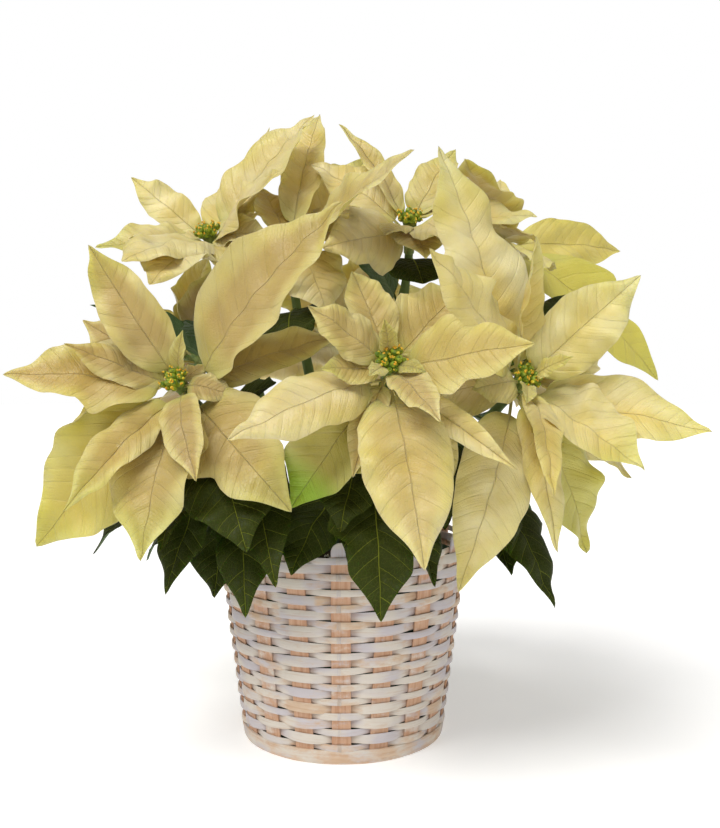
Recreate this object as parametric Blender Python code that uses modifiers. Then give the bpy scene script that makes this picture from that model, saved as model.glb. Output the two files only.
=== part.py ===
"""A white poinsettia in a whitewashed woven basket, in metres, +Z up, front towards -Y.

The origin is the middle of the basket's underside. Three young plants share one
grower's pot. Each has three or four shoots, and each shoot ends in a bloom: a whorl
of cream bracts round a knot of small yellow-green flower cups.

Every bract and leaf is one curved blade between a root and a tip. Blades are laid
one after the other, and a blade that would cut through something already there is
moved a little until it lies clear.
"""

import copy
import math

import bmesh
import bpy
import numpy as np
from mathutils import Matrix, Vector
from mathutils.bvhtree import BVHTree

MM = 0.001  # the tables of blooms and leaves below are in millimetres

# Basket
BASKET_BASE_RADIUS = 0.071
BASKET_RIM_RADIUS = 0.090
BASKET_ROWS_TOP = 0.1385
STAKE_COUNT = 18
STAKE_WIDTH = 0.0125
STAKE_END_TOP = 0.1480
STAKE_END_SHARE = 0.62  # how much of its width a stake's end keeps at the top
STAKE_SHARE_HEIGHT = 0.6  # where the stakes' angle is measured, as a share of the rows
HOOP_HEIGHT = 0.0095
HOOP_THICKNESS = 0.0016
NARROW_ROW = 0.0043
WIDE_ROW = 0.0061
ROW_COUNT = 25
WEAVE_SWING = 0.0014
WALL_THICKNESS = 0.0036
FLOOR_THICKNESS = 0.0032
ROUND_SIDES = 36

# Pot and soil inside the basket
POT_RIM_RADIUS = 0.0815
POT_BASE_RADIUS = 0.0590
POT_HEIGHT = 0.1220
POT_WALL = 0.0016
POT_LIP = 0.0090
POT_SIDES = 24
DRAIN_COUNT = 4
DRAIN_DISTANCE = 0.040
DRAIN_RADIUS = 0.005
DRAIN_DEPTH = 0.012
SOIL_TOP = 0.1150
SOIL_EDGE_DROP = 0.0030
SOIL_FLAT_RADIUS = 0.060
SOIL_FLAT_DROP = 0.0006
SOIL_HOLE_DEPTH = 0.0300
TRUNK_RADIUS = 0.0050
TRUNK_TOP_RADIUS = 0.0044
TRUNK_ABOVE_FORK = 0.004
SHOOT_RADIUS = 0.0031
SHOOT_TAPER = 0.25  # how much thicker a shoot is at its fork
SHOOT_LEAN = 0.24  # how far a shoot leans out before it rises, as a share of its reach
SHOOT_RISE = 0.22
SHOOT_TAIL = 0.045  # how long a shoot runs along its bloom's axis
FORK_HEIGHT = 0.1420

# Blades
BLADE_THICKNESS = 0.00075
PETIOLE_THICKNESS = 0.0016
PETIOLE_HALF_WIDTH = 0.0011
OUTLINE_RISE = 0.46  # the outline is u to the rise times (1 - u) to the fall
OUTLINE_FALL = 0.76
TOOTH_AT = (0.0, 0.22, 0.44, 0.53, 0.72, 1.0)
TOOTH_OUT = (0.0, 0.0, 0.20, -0.20, 0.0, 0.0)
ARCH_SKEW = 0.8  # below 1 the midrib is highest nearer the root
SHORT_BLADE = 0.048  # blades below this length have the short rows
SHORT_ROWS = (0.02, 0.26, 0.64)  # cross rows, as shares of the length past the stalk
PLAIN_ROWS = (0.01, 0.18, 0.43, 0.73)
TOOTHED_ROWS = (0.01, 0.20, 0.44, 0.53, 0.80)
RULE_ROWS = (0.01, 0.30, 0.68)  # for the plain blades that are laid by rule
LEAF_PETIOLE = 0.26
LEAF_TILT = 0.55  # how far a leaf's face leans outwards
HUB_RADIUS = 0.0048
HUB_LENGTH = 0.0240
HUB_TOP = 0.0030
HIGHEST_ROOT = 0.0040
ROOT_STEP = 0.0015
ROOT_DISTANCE = 0.0029  # from the hub's axis to the roots of the bracts
CUPS_RADIUS = 0.0066  # room for the whole knot of cups
CUPS_HEIGHT = 0.0055
DISC_HEIGHT = 0.0024
DISC_RADII = (0.0062, 0.0058)
OUTER_CUPS = 4
CUP_RING = 0.0048
CUP_LENGTHS = (0.0066, 0.0058)
CUP_RADII = (0.0017, 0.0023)
CUP_SUNK = 0.0015
GAP = 0.0003
FACET_ROOM = 0.0007  # between two faceted rounds whose corners don't line up
MERGE_REACHES = (0.0003, 0.0002, 0.0001)
CROSSES_ANOTHER = 50  # what cutting into another plant or bloom costs a place
SAFE = 0.0011  # room kept on each side of a blade when it is laid

# Surfaces: the linear colour and the roughness
WHITEWASHED_WOOD = ((0.62, 0.50, 0.42), 0.75)
PLAIN_WOOD = ((0.45, 0.33, 0.23), 0.8)
GREEN_PLASTIC = ((0.03, 0.07, 0.035), 0.45)
SOIL = ((0.035, 0.022, 0.014), 0.95)
LEAF_GREEN = ((0.03, 0.085, 0.02), 0.5)
CREAM = ((0.72, 0.64, 0.32), 0.55)
YELLOW_GREEN = ((0.32, 0.42, 0.06), 0.5)

# Where the front view is seen from, so that a blade can be moved along the line of sight
EYE_POINT = (0.012, -0.700, 0.259)

# Plants: where each trunk stands in the soil, and the blooms of its shoots
PLANTS = {
    "plant_left": ((-34, 10), ("left", "top_left", "side_left")),
    "plant_right": ((36, 14), ("right", "top_right", "side_right", "back")),
    "plant_middle": ((2, -34), ("front", "top_front", "top_back")),
}

# Blooms: the middle of the flower cups, and the way the bloom faces
BLOOMS = {
    "front": ((30, -115, 262), (0.05, -0.85, 0.52)),
    "left": ((-105, -75, 250), (-0.30, -0.80, 0.52)),
    "right": ((117, -80, 252), (0.32, -0.80, 0.50)),
    "top_left": ((-96, 5, 353), (-0.25, -0.55, 0.80)),
    "top_front": ((47, 0, 362), (0.00, -0.55, 0.83)),
    "top_back": ((-38, 6, 352), (-0.05, -0.30, 0.95)),
    "top_right": ((118, 55, 357), (0.35, -0.25, 0.90)),
    "side_left": ((-126, 66, 270), (-0.78, 0.40, 0.50)),
    "side_right": ((128, 70, 258), (0.80, 0.38, 0.46)),
    "back": ((8, 138, 286), (0.02, 0.84, 0.54)),
}

# Bracts that the front view shows. Each row is the tip, measured from the middle of
# the flower cups to the right, to the front and up, then the width, the arch in
# hundredths of the length, the roll and the fold in degrees, and whether it has teeth.
BRACTS = {
    "front": [
        (16, 70, -111, 54, 10, 0, 10, 0),
        (-91, 45, -44, 40, 9, 0, 6, 0),
        (-48, 20, 31, 30, 8, 0, 8, 0),
        (50, -32, 48, 44, 8, 0, 12, 1),
        (79, 35, 9, 44, 6, 10, 10, 1),
        (-40, 35, -5, 24, 10, 0, 6, 0),
        (26, 45, -34, 24, 14, 0, 10, 0),
        (66, 60, -59, 21, 8, 20, 30, 0),
        (-22, 35, -66, 22, 10, 10, 18, 0),
        (-23, -10, 53, 31, 8, 0, 20, 0),
        (-58, 15, -86, 56, 8, 0, 8, 1),
        (31, 25, -83, 46, 9, 0, 10, 0),
    ],
    "left": [
        (107, 20, 108, 67, 8, 0, 8, 0),
        (-55, -5, 85, 38, 10, 0, 10, 0),
        (77, 50, -77, 58, 9, 0, 8, 1),
        (-13, 45, -107, 62, 9, 0, 8, 0),
        (-57, 50, -77, 34, 8, -10, 22, 0),
        (-81, 25, -102, 70, 14, -22, 8, 0),
        (-107, 5, 3, 46, 9, 0, 8, 1),
        (-61, 30, 22, 26, 10, 0, 8, 0),
        (23, 60, -58, 28, 12, 0, 10, 0),
        (43, 35, -10, 20, 16, 0, 10, 0),
        (26, 22, 12, 20, 12, 0, 8, 0),
        (107, 0, 28, 34, 8, 0, 8, 0),
        (-62, -15, 38, 34, 8, 0, 8, 0),
    ],
    "right": [
        (-55, -20, 147, 58, 6, 0, 10, 1),
        (-66, 57, 73, 44, 7, 0, 10, 0),
        (111, 15, -34, 50, 1, 0, 10, 0),
        (70, 0, 63, 45, 8, 0, 12, 0),
        (-49, 60, -123, 49, 8, 0, 10, 0),
        (3, 10, 86, 29, 6, 25, 38, 0),
        (67, 25, -57, 50, 4, 0, 12, 0),
        (37, 5, -111, 50, 12, 0, 12, 0),
        (13, 35, -105, 26, 8, 10, 24, 0),
        (6, 55, -69, 22, 12, 0, 14, 0),
        (-38, 27, -8, 30, 12, 0, 10, 0),
        (-59, -20, -14, 40, 8, 0, 8, 0),
    ],
    "top_left": [
        (74, -45, 93, 50, 7, 0, 10, 0),
        (-57, -15, 41, 28, 8, -20, 8, 0),
        (-73, 25, -14, 38, 8, -15, 8, 0),
        (-49, 50, -26, 60, 10, -10, 8, 1),
        (46, 40, -6, 30, 10, 15, 20, 0),
        (27, -38, 50, 40, 4, 0, 10, 1),
        (38, 55, -28, 36, 12, 0, 8, 0),
        (-29, 60, -42, 54, 12, 0, 8, 0),
        (37, -80, 92, 32, 6, 0, 10, 0),
    ],
    "top_front": [
        (-71, -32, 44, 38, 8, -15, 10, 0),
        (-51, -46, 76, 20, 10, 0, 30, 0),
        (35, -34, 55, 32, 8, 0, 12, 0),
        (8, 50, -34, 43, 12, 0, 8, 0),
        (-60, 46, -26, 46, 6, -40, 8, 1),
        (44, 45, -24, 40, 10, 10, 8, 0),
    ],
    "top_back": [
        (84, 82, 41, 42, -3, 34, 10, 0),
        (19, -66, 100, 32, 7, 0, 12, 0),
        (56, -70, 68, 44, 8, 40, 10, 0),
        (28, 34, -60, 49, 12, 0, 8, 0),
        (-34, -40, 58, 44, 6, 0, 8, 0),
    ],
    "top_right": [
        (123, -5, -110, 52, 12, 45, 10, 1),
        (98, -25, -9, 40, 10, 50, 10, 0),
        (-38, -48, 58, 26, 4, 0, 10, 0),
        (9, -65, 54, 34, 8, 0, 10, 0),
    ],
    "side_left": [],
    "side_right": [],
    "back": [],
}

# What each bloom is filled up with where the rows above leave its whorl open:
# how many large and small bracts a full whorl has, and the large one's length and width
WHORLS = {
    "front": (0, 0, 95, 40),
    "left": (0, 0, 95, 40),
    "right": (0, 0, 95, 40),
    "top_left": (5, 2, 92, 50),
    "top_front": (6, 2, 88, 48),
    "top_back": (5, 2, 92, 50),
    "top_right": (6, 2, 100, 50),
    "side_left": (6, 3, 108, 58),
    "side_right": (6, 3, 108, 58),
    "back": (6, 3, 116, 60),
}
# Large and small bracts of the rule: degrees from the bloom's axis, size, degrees kept
# free on each side of a given bract, the first one's turn, and the step of its root
WHORL_RINGS = ((72.0, 1.00, 34.0, 0.25, 4.5), (52.0, 0.60, 0.0, 0.75, 0.5))
WHORL_DROOP = 0.16

# Green leaves that the front view shows: the plant, the bloom of the shoot that carries
# the leaf, the tip, the height at which the stalk leaves the shoot, the width, the arch in
# hundredths of the length, the fold in degrees, and whether the leaf has teeth
LEAVES = [
    ("plant_middle", "front", (24, -137, 111), 185, 52, 22, 8, 1),
    ("plant_middle", "front", (56, -127, 129), 180, 38, 22, 34, 0),
    ("plant_middle", "front", (-30, -104, 131), 172, 52, 22, 8, 1),
    ("plant_left", "left", (-56, -120, 109), 176, 44, 22, 8, 1),
    ("plant_left", "left", (-37, -132, 130), 184, 42, 22, 14, 0),
    ("plant_left", "left", (-105, -112, 121), 182, 46, 20, 10, 1),
    ("plant_left", "left", (-160, -70, 137), 186, 54, 18, 8, 0),
    ("plant_left", "left", (-112, -92, 144), 196, 44, 18, 10, 0),
    ("plant_middle", "front", (0, -118, 160), 196, 50, 18, 8, 1),
    ("plant_right", "right", (133, -92, 108), 178, 50, 20, 10, 1),
    ("plant_right", "right", (104, -98, 142), 182, 50, 18, 10, 0),
    ("plant_right", "right", (171, 20, 311), 232, 40, 12, 12, 0),
    ("plant_left", "side_left", (-182, 12, 302), 240, 40, 12, 10, 0),
    ("plant_left", "top_left", (-104, -48, 288), 262, 36, 12, 10, 0),
    ("plant_middle", "top_front", (4, 34, 356), 292, 60, 10, 10, 0),
    ("plant_middle", "top_back", (-36, -42, 266), 300, 54, 12, 8, 0),
    ("plant_middle", "front", (-36, -84, 200), 204, 48, 6, 8, 0),
    ("plant_middle", "top_front", (54, -50, 310), 334, 60, 14, 8, 0),
    ("plant_left", "left", (-42, -62, 248), 222, 48, 2, 8, 0),
    ("plant_right", "right", (46, -72, 240), 222, 54, 2, 8, 0),
]

# Leaves laid by rule in rings round the shoots: the count, the first azimuth, the
# distance of the tips from the middle, their height, the height at which the stalks
# leave the shoots, the width and the arch
LEAF_RINGS = [
    (8, 8, 134, 130, 176, 60, 20),
    (8, -22, 158, 196, 222, 64, 14),
    (6, 20, 132, 262, 272, 54, 10),
    (6, 12, 104, 222, 284, 64, 12),
    (5, 25, 84, 286, 330, 56, 10),
]


class Blade:
    """One bract or leaf: from root to tip, facing one way, with its width and bends."""

    def __init__(self, node, root, tip, width, facing, **shape):
        self.node = node
        self.root = np.array(root, float)
        self.tip = np.array(tip, float)
        self.width = width
        self.facing = np.array(facing, float)
        self.arch = 0.08
        self.roll = 0.0
        self.fold = 10.0
        self.petiole = 0.13
        self.toothed = False
        self.green = False
        self.seen = True
        for name, value in shape.items():
            setattr(self, name, value)

    def changed(self, **shape):
        """A copy with some values changed."""
        other = copy.copy(self)
        for name, value in shape.items():
            setattr(other, name, value)
        return other

    def length(self):
        return float(np.linalg.norm(self.tip - self.root))


def unit(vector):
    """The vector at length 1."""
    return vector / np.linalg.norm(vector)


def turned(vector, axis, degrees):
    """The vector turned about the axis."""
    angle = math.radians(degrees)
    return (
        vector * math.cos(angle)
        + np.cross(axis, vector) * math.sin(angle)
        + axis * (axis @ vector) * (1 - math.cos(angle))
    )


def bezier(points, t):
    """Points of a cubic Bezier curve at the values t."""
    t = np.asarray(t, float)[:, None]
    a, b, c, d = (np.asarray(p, float) for p in points)
    return (1 - t) ** 3 * a + 3 * t * (1 - t) ** 2 * b + 3 * t**2 * (1 - t) * c + t**3 * d


def tooth(u, toothed):
    """How far a toothed blade's edge stands out or cuts in at u, as a factor."""
    if not toothed:
        return np.ones_like(u)
    return 1 + np.interp(u, TOOTH_AT, TOOTH_OUT)


def half_width(blade, t):
    """Half the blade's width at t, from 0 at the root to 1 at the tip."""
    u = np.clip((t - blade.petiole) / (1 - blade.petiole), 0, 1)
    peak = OUTLINE_RISE / (OUTLINE_RISE + OUTLINE_FALL)
    broadest = peak**OUTLINE_RISE * (1 - peak) ** OUTLINE_FALL
    body = u**OUTLINE_RISE * (1 - u) ** OUTLINE_FALL / broadest * tooth(u, blade.toothed)
    return np.maximum(PETIOLE_HALF_WIDTH * (1 - u), blade.width / 2 * body)


def blade_frame(blade, t):
    """The midrib's points, and the directions along, across and out of the face."""
    t = np.asarray(t, float)
    reach = blade.tip - blade.root
    length = np.linalg.norm(reach)
    along = reach / length
    face = blade.facing - (blade.facing @ along) * along
    face = turned(unit(face), along, blade.roll)

    def midrib(s):
        rise = blade.arch * length * np.sin(math.pi * np.clip(s, 0, 1) ** ARCH_SKEW)
        return blade.root + s[:, None] * reach + rise[:, None] * face

    step = 0.01
    tangent = midrib(np.minimum(t + step, 1)) - midrib(np.maximum(t - step, 0))
    tangent /= np.linalg.norm(tangent, axis=1)[:, None]
    normal = face - (tangent @ face)[:, None] * tangent
    normal /= np.linalg.norm(normal, axis=1)[:, None]
    return midrib(t), tangent, np.cross(tangent, normal), normal


def stations(blade):
    """Where the coarse blade has its rows, from the root to the last row before the tip."""
    if blade.length() < SHORT_BLADE:
        inner = SHORT_ROWS
    elif not blade.seen and not blade.toothed:
        inner = RULE_ROWS
    elif blade.toothed:
        inner = TOOTHED_ROWS
    else:
        inner = PLAIN_ROWS
    return np.array([0.0] + [blade.petiole + (1 - blade.petiole) * u for u in inner])


def coarse_blade(blade, extra=0.0, first=0):
    """Points and triangles of the closed blade. extra thickens it on each side."""
    rows = stations(blade)[first:]
    t = np.append(rows, 1.0)
    middle, _, across, normal = blade_frame(blade, t)
    half = half_width(blade, t) + extra
    fold = math.radians(blade.fold)
    thick = np.interp(
        t, (blade.petiole, blade.petiole + 0.15), (PETIOLE_THICKNESS, BLADE_THICKNESS)
    )
    thick = thick / 2 + extra
    side = half[:, None] * math.cos(fold) * across
    lift = (half * math.sin(fold))[:, None] * normal
    lean = math.sin(fold) * across
    count = len(rows)
    points = []
    for sign in (1, -1):
        offset = sign * thick[:, None]
        points.append(middle - side + lift + offset * (math.cos(fold) * normal + lean))
        points.append(middle + offset * normal / math.cos(fold))
        points.append(middle + side + lift + offset * (math.cos(fold) * normal - lean))
    ends = [points[1][count], points[4][count]]
    flat = np.concatenate([p[:count] for p in points] + [np.array(ends)])
    top_tip = 6 * count
    bottom_tip = top_tip + 1
    left, mid, right, low_left, low_mid, low_right = (k * count for k in range(6))
    faces = []

    def quad(a, b, c, d):
        faces.append((a, b, c))
        faces.append((a, c, d))

    for i in range(count - 1):
        j = i + 1
        quad(left + i, mid + i, mid + j, left + j)
        quad(mid + i, right + i, right + j, mid + j)
        faces.append((low_left + i, low_mid + j, low_mid + i))
        faces.append((low_left + i, low_left + j, low_mid + j))
        faces.append((low_mid + i, low_right + j, low_right + i))
        faces.append((low_mid + i, low_mid + j, low_right + j))
        quad(left + i, left + j, low_left + j, low_left + i)
        quad(right + j, right + i, low_right + i, low_right + j)
    k = count - 1
    faces.append((left + k, mid + k, top_tip))
    faces.append((mid + k, right + k, top_tip))
    faces.append((low_mid + k, low_left + k, bottom_tip))
    faces.append((low_right + k, low_mid + k, bottom_tip))
    quad(left + k, top_tip, bottom_tip, low_left + k)
    quad(top_tip, right + k, low_right + k, bottom_tip)
    quad(left, low_left, low_mid, mid)
    quad(mid, low_mid, low_right, right)
    return flat, faces


def ring_tube(points, radii, sides):
    """Points and triangles of a closed tube through the points."""
    points = np.asarray(points, float)
    tangent = np.gradient(points, axis=0)
    tangent /= np.linalg.norm(tangent, axis=1)[:, None]
    hint = np.array([0.3, 1.0, 0.1])
    first = np.cross(tangent, hint)
    first /= np.linalg.norm(first, axis=1)[:, None]
    second = np.cross(tangent, first)
    flat = []
    for p, a, b, radius in zip(points, first, second, radii):
        for k in range(sides):
            angle = 2 * math.pi * k / sides
            flat.append(p + radius * (math.cos(angle) * a + math.sin(angle) * b))
    faces = []
    for i in range(len(points) - 1):
        for k in range(sides):
            a, b = i * sides + k, i * sides + (k + 1) % sides
            faces.append((a, b, b + sides))
            faces.append((a, b + sides, a + sides))
    last = (len(points) - 1) * sides
    for k in range(1, sides - 1):
        faces.append((0, k + 1, k))
        faces.append((last, last + k, last + k + 1))
    return np.array(flat), faces


class Space:
    """What has been laid so far, to test the next blade against."""

    def __init__(self):
        self.things = []

    def add(self, node, points, faces, outer=None):
        tree = BVHTree.FromPolygons(points.tolist(), faces)
        outer_tree = BVHTree.FromPolygons(outer[0].tolist(), outer[1]) if outer else None
        self.things.append((node, points.min(0), points.max(0), tree, outer_tree))

    def add_blade(self, blade):
        points, faces = coarse_blade(blade, SAFE / 2)
        outer = coarse_blade(blade, SAFE / 2, 2)
        self.add(blade.node, points, faces, outer)

    def cost(self, blade, room):
        """0 where the blade lies clear, and more the more it cuts through."""
        points, faces = coarse_blade(blade, room)
        low, high = points.min(0), points.max(0)
        tree = BVHTree.FromPolygons(points.tolist(), faces)
        outer_points, outer_faces = coarse_blade(blade, room, 2)
        outer_tree = BVHTree.FromPolygons(outer_points.tolist(), outer_faces)
        total = 0
        for node, other_low, other_high, other, other_outer in self.things:
            if (low > other_high).any() or (other_low > high).any():
                continue
            if node != blade.node:
                total += CROSSES_ANOTHER * len(tree.overlap(other))
            elif other_outer is not None:
                total += len(outer_tree.overlap(other_outer))
        return total


def sight_tries(blade):
    """Small changes that keep the blade's picture from the front nearly the same."""
    sight = unit(blade.tip - np.array(EYE_POINT))
    steps = (0, 7, -7, 14, -14, 21, -21, 28, -28)
    for step in steps:
        yield blade.changed(tip=blade.tip + step * MM * sight)
    for arch in (0.05, -0.05, 0.10, -0.10):
        for step in steps[:7]:
            yield blade.changed(tip=blade.tip + step * MM * sight, arch=blade.arch + arch)
    for roll in (14, -14, 28, -28):
        for step in steps[:7]:
            yield blade.changed(tip=blade.tip + step * MM * sight, roll=blade.roll + roll)
    for scale in (0.9, 0.8, 0.68):
        for roll in (0, 16, -16):
            for step in steps:
                reach = (blade.tip - blade.root) * scale
                tip = blade.root + reach + step * MM * sight
                yield blade.changed(tip=tip, width=blade.width * scale, roll=blade.roll + roll)


def free_tries(blade):
    """Swings and lifts of a blade that the front view doesn't fix."""
    reach = blade.tip - blade.root
    across = unit(np.cross(reach, blade.facing))
    for scale in (1.0, 0.9, 0.8, 0.68):
        for lift in (0, 8, -8, 16, -16, 26, -26):
            for swing in (0, 9, -9, 18, -18):
                way = turned(turned(reach, across, lift), unit(blade.facing), swing)
                yield blade.changed(tip=blade.root + way * scale, width=blade.width * scale)


def lay(space, blade):
    """The blade, moved as little as it takes to lie clear, and added to the space.

    None stands for a blade of the rule that finds no clear place.
    """
    best, least = None, None
    for room in (SAFE, SAFE / 3):
        for trial in (sight_tries if blade.seen else free_tries)(blade):
            cost = space.cost(trial, room)
            if least is None or cost < least:
                best, least = trial, cost
            if cost == 0:
                break
        if least == 0:
            break
    if least >= CROSSES_ANOTHER and not blade.seen:
        return None
    space.add_blade(best)
    return best


def bloom_axes(name):
    """The middle of the flower cups, the facing direction and two directions across."""
    centre, facing = BLOOMS[name]
    axis = unit(np.array(facing))
    right = unit(np.cross(axis, (0.0, 0.0, 1.0)))
    return np.array(centre) * MM, axis, right, np.cross(right, axis)


def seen_bracts(name):
    """The bracts of one bloom that the front view shows."""
    centre, axis, _, _ = bloom_axes(name)
    lengths = sorted(np.linalg.norm(row[:3]) for row in BRACTS[name])
    blades = []
    for right, front, up, width, arch, roll, fold, toothed in BRACTS[name]:
        tip = centre + np.array((right, -front, up)) * MM
        rank = lengths.index(np.linalg.norm((right, front, up)))
        depth = HUB_TOP + HIGHEST_ROOT + ROOT_STEP * rank
        away = tip - centre
        away = unit(away - (away @ axis) * axis)
        root = centre - depth * axis + ROOT_DISTANCE * away
        shape = dict(arch=arch / 100, roll=roll, fold=fold, toothed=bool(toothed))
        blades.append(Blade("bracts_" + name, root, tip, width * MM, axis, **shape))
    return blades


def rule_bracts(name, have):
    """Bracts that fill a bloom's whorl where the given ones leave it open."""
    centre, axis, right, up = bloom_axes(name)
    large, small, length, width = WHORLS[name]
    taken = [math.atan2((b.tip - centre) @ up, (b.tip - centre) @ right) for b in have]
    blades = []
    for count, (tilt, size, room, turn, step) in zip((large, small), WHORL_RINGS):
        for k in range(count):
            angle = 2 * math.pi * (k + turn) / count
            gaps = [abs(math.remainder(angle - other, 2 * math.pi)) for other in taken]
            if gaps and min(gaps) < math.radians(room):
                continue
            reach = size * length * MM * (1 + 0.10 * math.sin(5.1 * k + 1.7 * turn))
            lean = math.radians(tilt + 9 * math.sin(3.7 * k + 2.0))
            away = math.cos(angle) * right + math.sin(angle) * up
            way = math.cos(lean) * axis + math.sin(lean) * away
            droop = np.array((0.0, 0.0, -WHORL_DROOP * reach * size))
            depth = HUB_TOP + HIGHEST_ROOT + ROOT_STEP * (k + step)
            root = centre - depth * axis + ROOT_DISTANCE * away
            shape = dict(arch=0.10, fold=8.0 + 3 * math.sin(2.3 * k), seen=False)
            shape["toothed"] = size == 1.0 and k % 3 == 1
            tip = centre + reach * way + droop
            blades.append(
                Blade("bracts_" + name, root, tip, size * width * MM, axis, **shape)
            )
    return blades


def shoot_route(plant, bloom):
    """The Bezier points of one shoot, from its fork to just under its bloom's hub."""
    x, y = PLANTS[plant][0]
    centre, axis, _, _ = bloom_axes(bloom)
    fork = np.array((x * MM, y * MM, FORK_HEIGHT))
    end = centre - (HUB_TOP + HUB_LENGTH + GAP) * axis
    reach = end - fork
    rise = SHOOT_RISE * np.linalg.norm(reach)
    start = fork + (SHOOT_LEAN * reach[0], SHOOT_LEAN * reach[1], rise)
    return fork, start, end - SHOOT_TAIL * axis, end


def shoot_points(plant, bloom, count=7):
    """Points along a shoot. The last stretch is short, so that its end cap is square."""
    t = np.append(np.linspace(0, 0.96, count - 1), 1.0)
    return bezier(shoot_route(plant, bloom), t)


def leaf_blade(plant, bloom, tip, height, width, arch, fold, toothed, seen=True):
    """A green leaf whose stalk leaves the bloom's shoot at the height."""
    points = shoot_points(plant, bloom, 60)
    root = points[np.argmin(abs(points[:, 2] - height * MM))]
    tip = np.array(tip) * MM
    out = unit(np.array((tip[0], tip[1], 0.0)))
    facing = unit(LEAF_TILT * out + np.array((0.0, 0.0, 1.0)))
    shape = dict(arch=arch / 100, fold=fold, toothed=bool(toothed), green=True, seen=seen)
    return Blade(plant, root, tip, width * MM, facing, petiole=LEAF_PETIOLE, **shape)


def ring_leaves():
    """The leaves that are laid by rule, each on the shoot nearest its tip."""
    blades = []
    for count, first, distance, tip_height, height, width, arch in LEAF_RINGS:
        for k in range(count):
            angle = math.radians(first + 360 * k / count)
            reach = distance * (1 + 0.08 * math.sin(4.3 * k + distance))
            tip = (
                reach * math.cos(angle),
                reach * math.sin(angle),
                tip_height + 9 * math.sin(2.9 * k + height),
            )
            nearest = None
            for plant, (_, blooms) in PLANTS.items():
                for bloom in blooms:
                    points = shoot_points(plant, bloom, 60)
                    at = points[np.argmin(abs(points[:, 2] - height * MM))]
                    gap = np.linalg.norm(at - np.array(tip) * MM)
                    if nearest is None or gap < nearest[0]:
                        nearest = (gap, plant, bloom)
            shape = (width, arch, 8, k % 2)
            blades.append(leaf_blade(nearest[1], nearest[2], tip, height, *shape, seen=False))
    return blades


def outer_radius(z):
    """The basket's outermost radius at a height."""
    rise = (BASKET_RIM_RADIUS - BASKET_BASE_RADIUS) / STAKE_END_TOP
    return BASKET_BASE_RADIUS + rise * z


def plan():
    """Every blade in its place, and what stands around them."""
    space = Space()
    ends = [(0.0, 0.0, z) for z in (0.0, STAKE_END_TOP)]
    radii = [outer_radius(z) + SAFE for _, _, z in ends]
    space.add("basket", *ring_tube(ends, radii, ROUND_SIDES))
    for plant, ((x, y), blooms) in PLANTS.items():
        trunk = np.array([(x * MM, y * MM, z) for z in (SOIL_TOP, FORK_HEIGHT)])
        space.add(plant, *ring_tube(trunk, [TRUNK_RADIUS] * 2, 6))
        for bloom in blooms:
            points = shoot_points(plant, bloom)
            space.add(plant, *ring_tube(points, [SHOOT_RADIUS + SAFE] * len(points), 6))
    for name in BLOOMS:
        centre, axis, _, _ = bloom_axes(name)
        hub = np.array([centre - (HUB_TOP + HUB_LENGTH) * axis, centre - HUB_TOP * axis])
        space.add("bracts_" + name, *ring_tube(hub, [HUB_RADIUS + SAFE] * 2, 8))
        cups = np.array([centre + GAP * axis - HUB_TOP * axis, centre + CUPS_HEIGHT * axis])
        space.add("cups_" + name, *ring_tube(cups, [CUPS_RADIUS, 1.25 * CUPS_RADIUS], 8))
    given = {name: seen_bracts(name) for name in BLOOMS}
    seen = [blade for name in BLOOMS for blade in given[name]]
    leaves = [leaf_blade(*row) for row in LEAVES]
    fills = [blade for name in BLOOMS for blade in rule_bracts(name, given[name])]
    laid = [lay(space, blade) for blade in seen + leaves + fills + ring_leaves()]
    return [blade for blade in laid if blade is not None]


def clear_scene():
    """Remove what the file holds, with its unused meshes, curves and materials."""
    for thing in list(bpy.data.objects):
        bpy.data.objects.remove(thing, do_unlink=True)
    for stock in (bpy.data.meshes, bpy.data.curves, bpy.data.materials):
        for item in list(stock):
            stock.remove(item)


def new_collection(name):
    """A collection linked to the scene."""
    made = bpy.data.collections.new(name)
    bpy.context.scene.collection.children.link(made)
    return made


def finish(name, colour, roughness):
    """A plain surface of the given linear colour."""
    material = bpy.data.materials.new(name)
    material.use_nodes = True
    shader = material.node_tree.nodes["Principled BSDF"]
    shader.inputs["Base Color"].default_value = (*colour, 1.0)
    shader.inputs["Roughness"].default_value = roughness
    material.diffuse_color = (*colour, 1.0)
    return material


def mesh_object(name, points, faces, collection):
    """An object from points in metres and faces."""
    mesh = bpy.data.meshes.new(name)
    mesh.from_pydata(np.asarray(points).tolist(), [], faces)
    mesh.update()
    made = bpy.data.objects.new(name, mesh)
    collection.objects.link(made)
    return made


def bmesh_object(name, shape, collection):
    """An object from a bmesh, which is freed."""
    mesh = bpy.data.meshes.new(name)
    shape.to_mesh(mesh)
    shape.free()
    made = bpy.data.objects.new(name, mesh)
    collection.objects.link(made)
    return made


def upright(centre, axis):
    """The matrix that stands a shape made round Z on the centre, along the axis."""
    turn = Vector(axis).to_track_quat("Z", "Y").to_matrix().to_4x4()
    return Matrix.Translation(Vector(centre)) @ turn


def cylinder(name, start, axis, length, low_radius, high_radius, sides, collection):
    """A closed, slightly tapered cylinder from a start point along an axis."""
    shape = bmesh.new()
    middle = np.array(start) + 0.5 * length * np.array(axis)
    bmesh.ops.create_cone(
        shape,
        cap_ends=True,
        segments=sides,
        radius1=low_radius,
        radius2=high_radius,
        depth=length,
        matrix=upright(middle, axis),
    )
    return bmesh_object(name, shape, collection)


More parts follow.
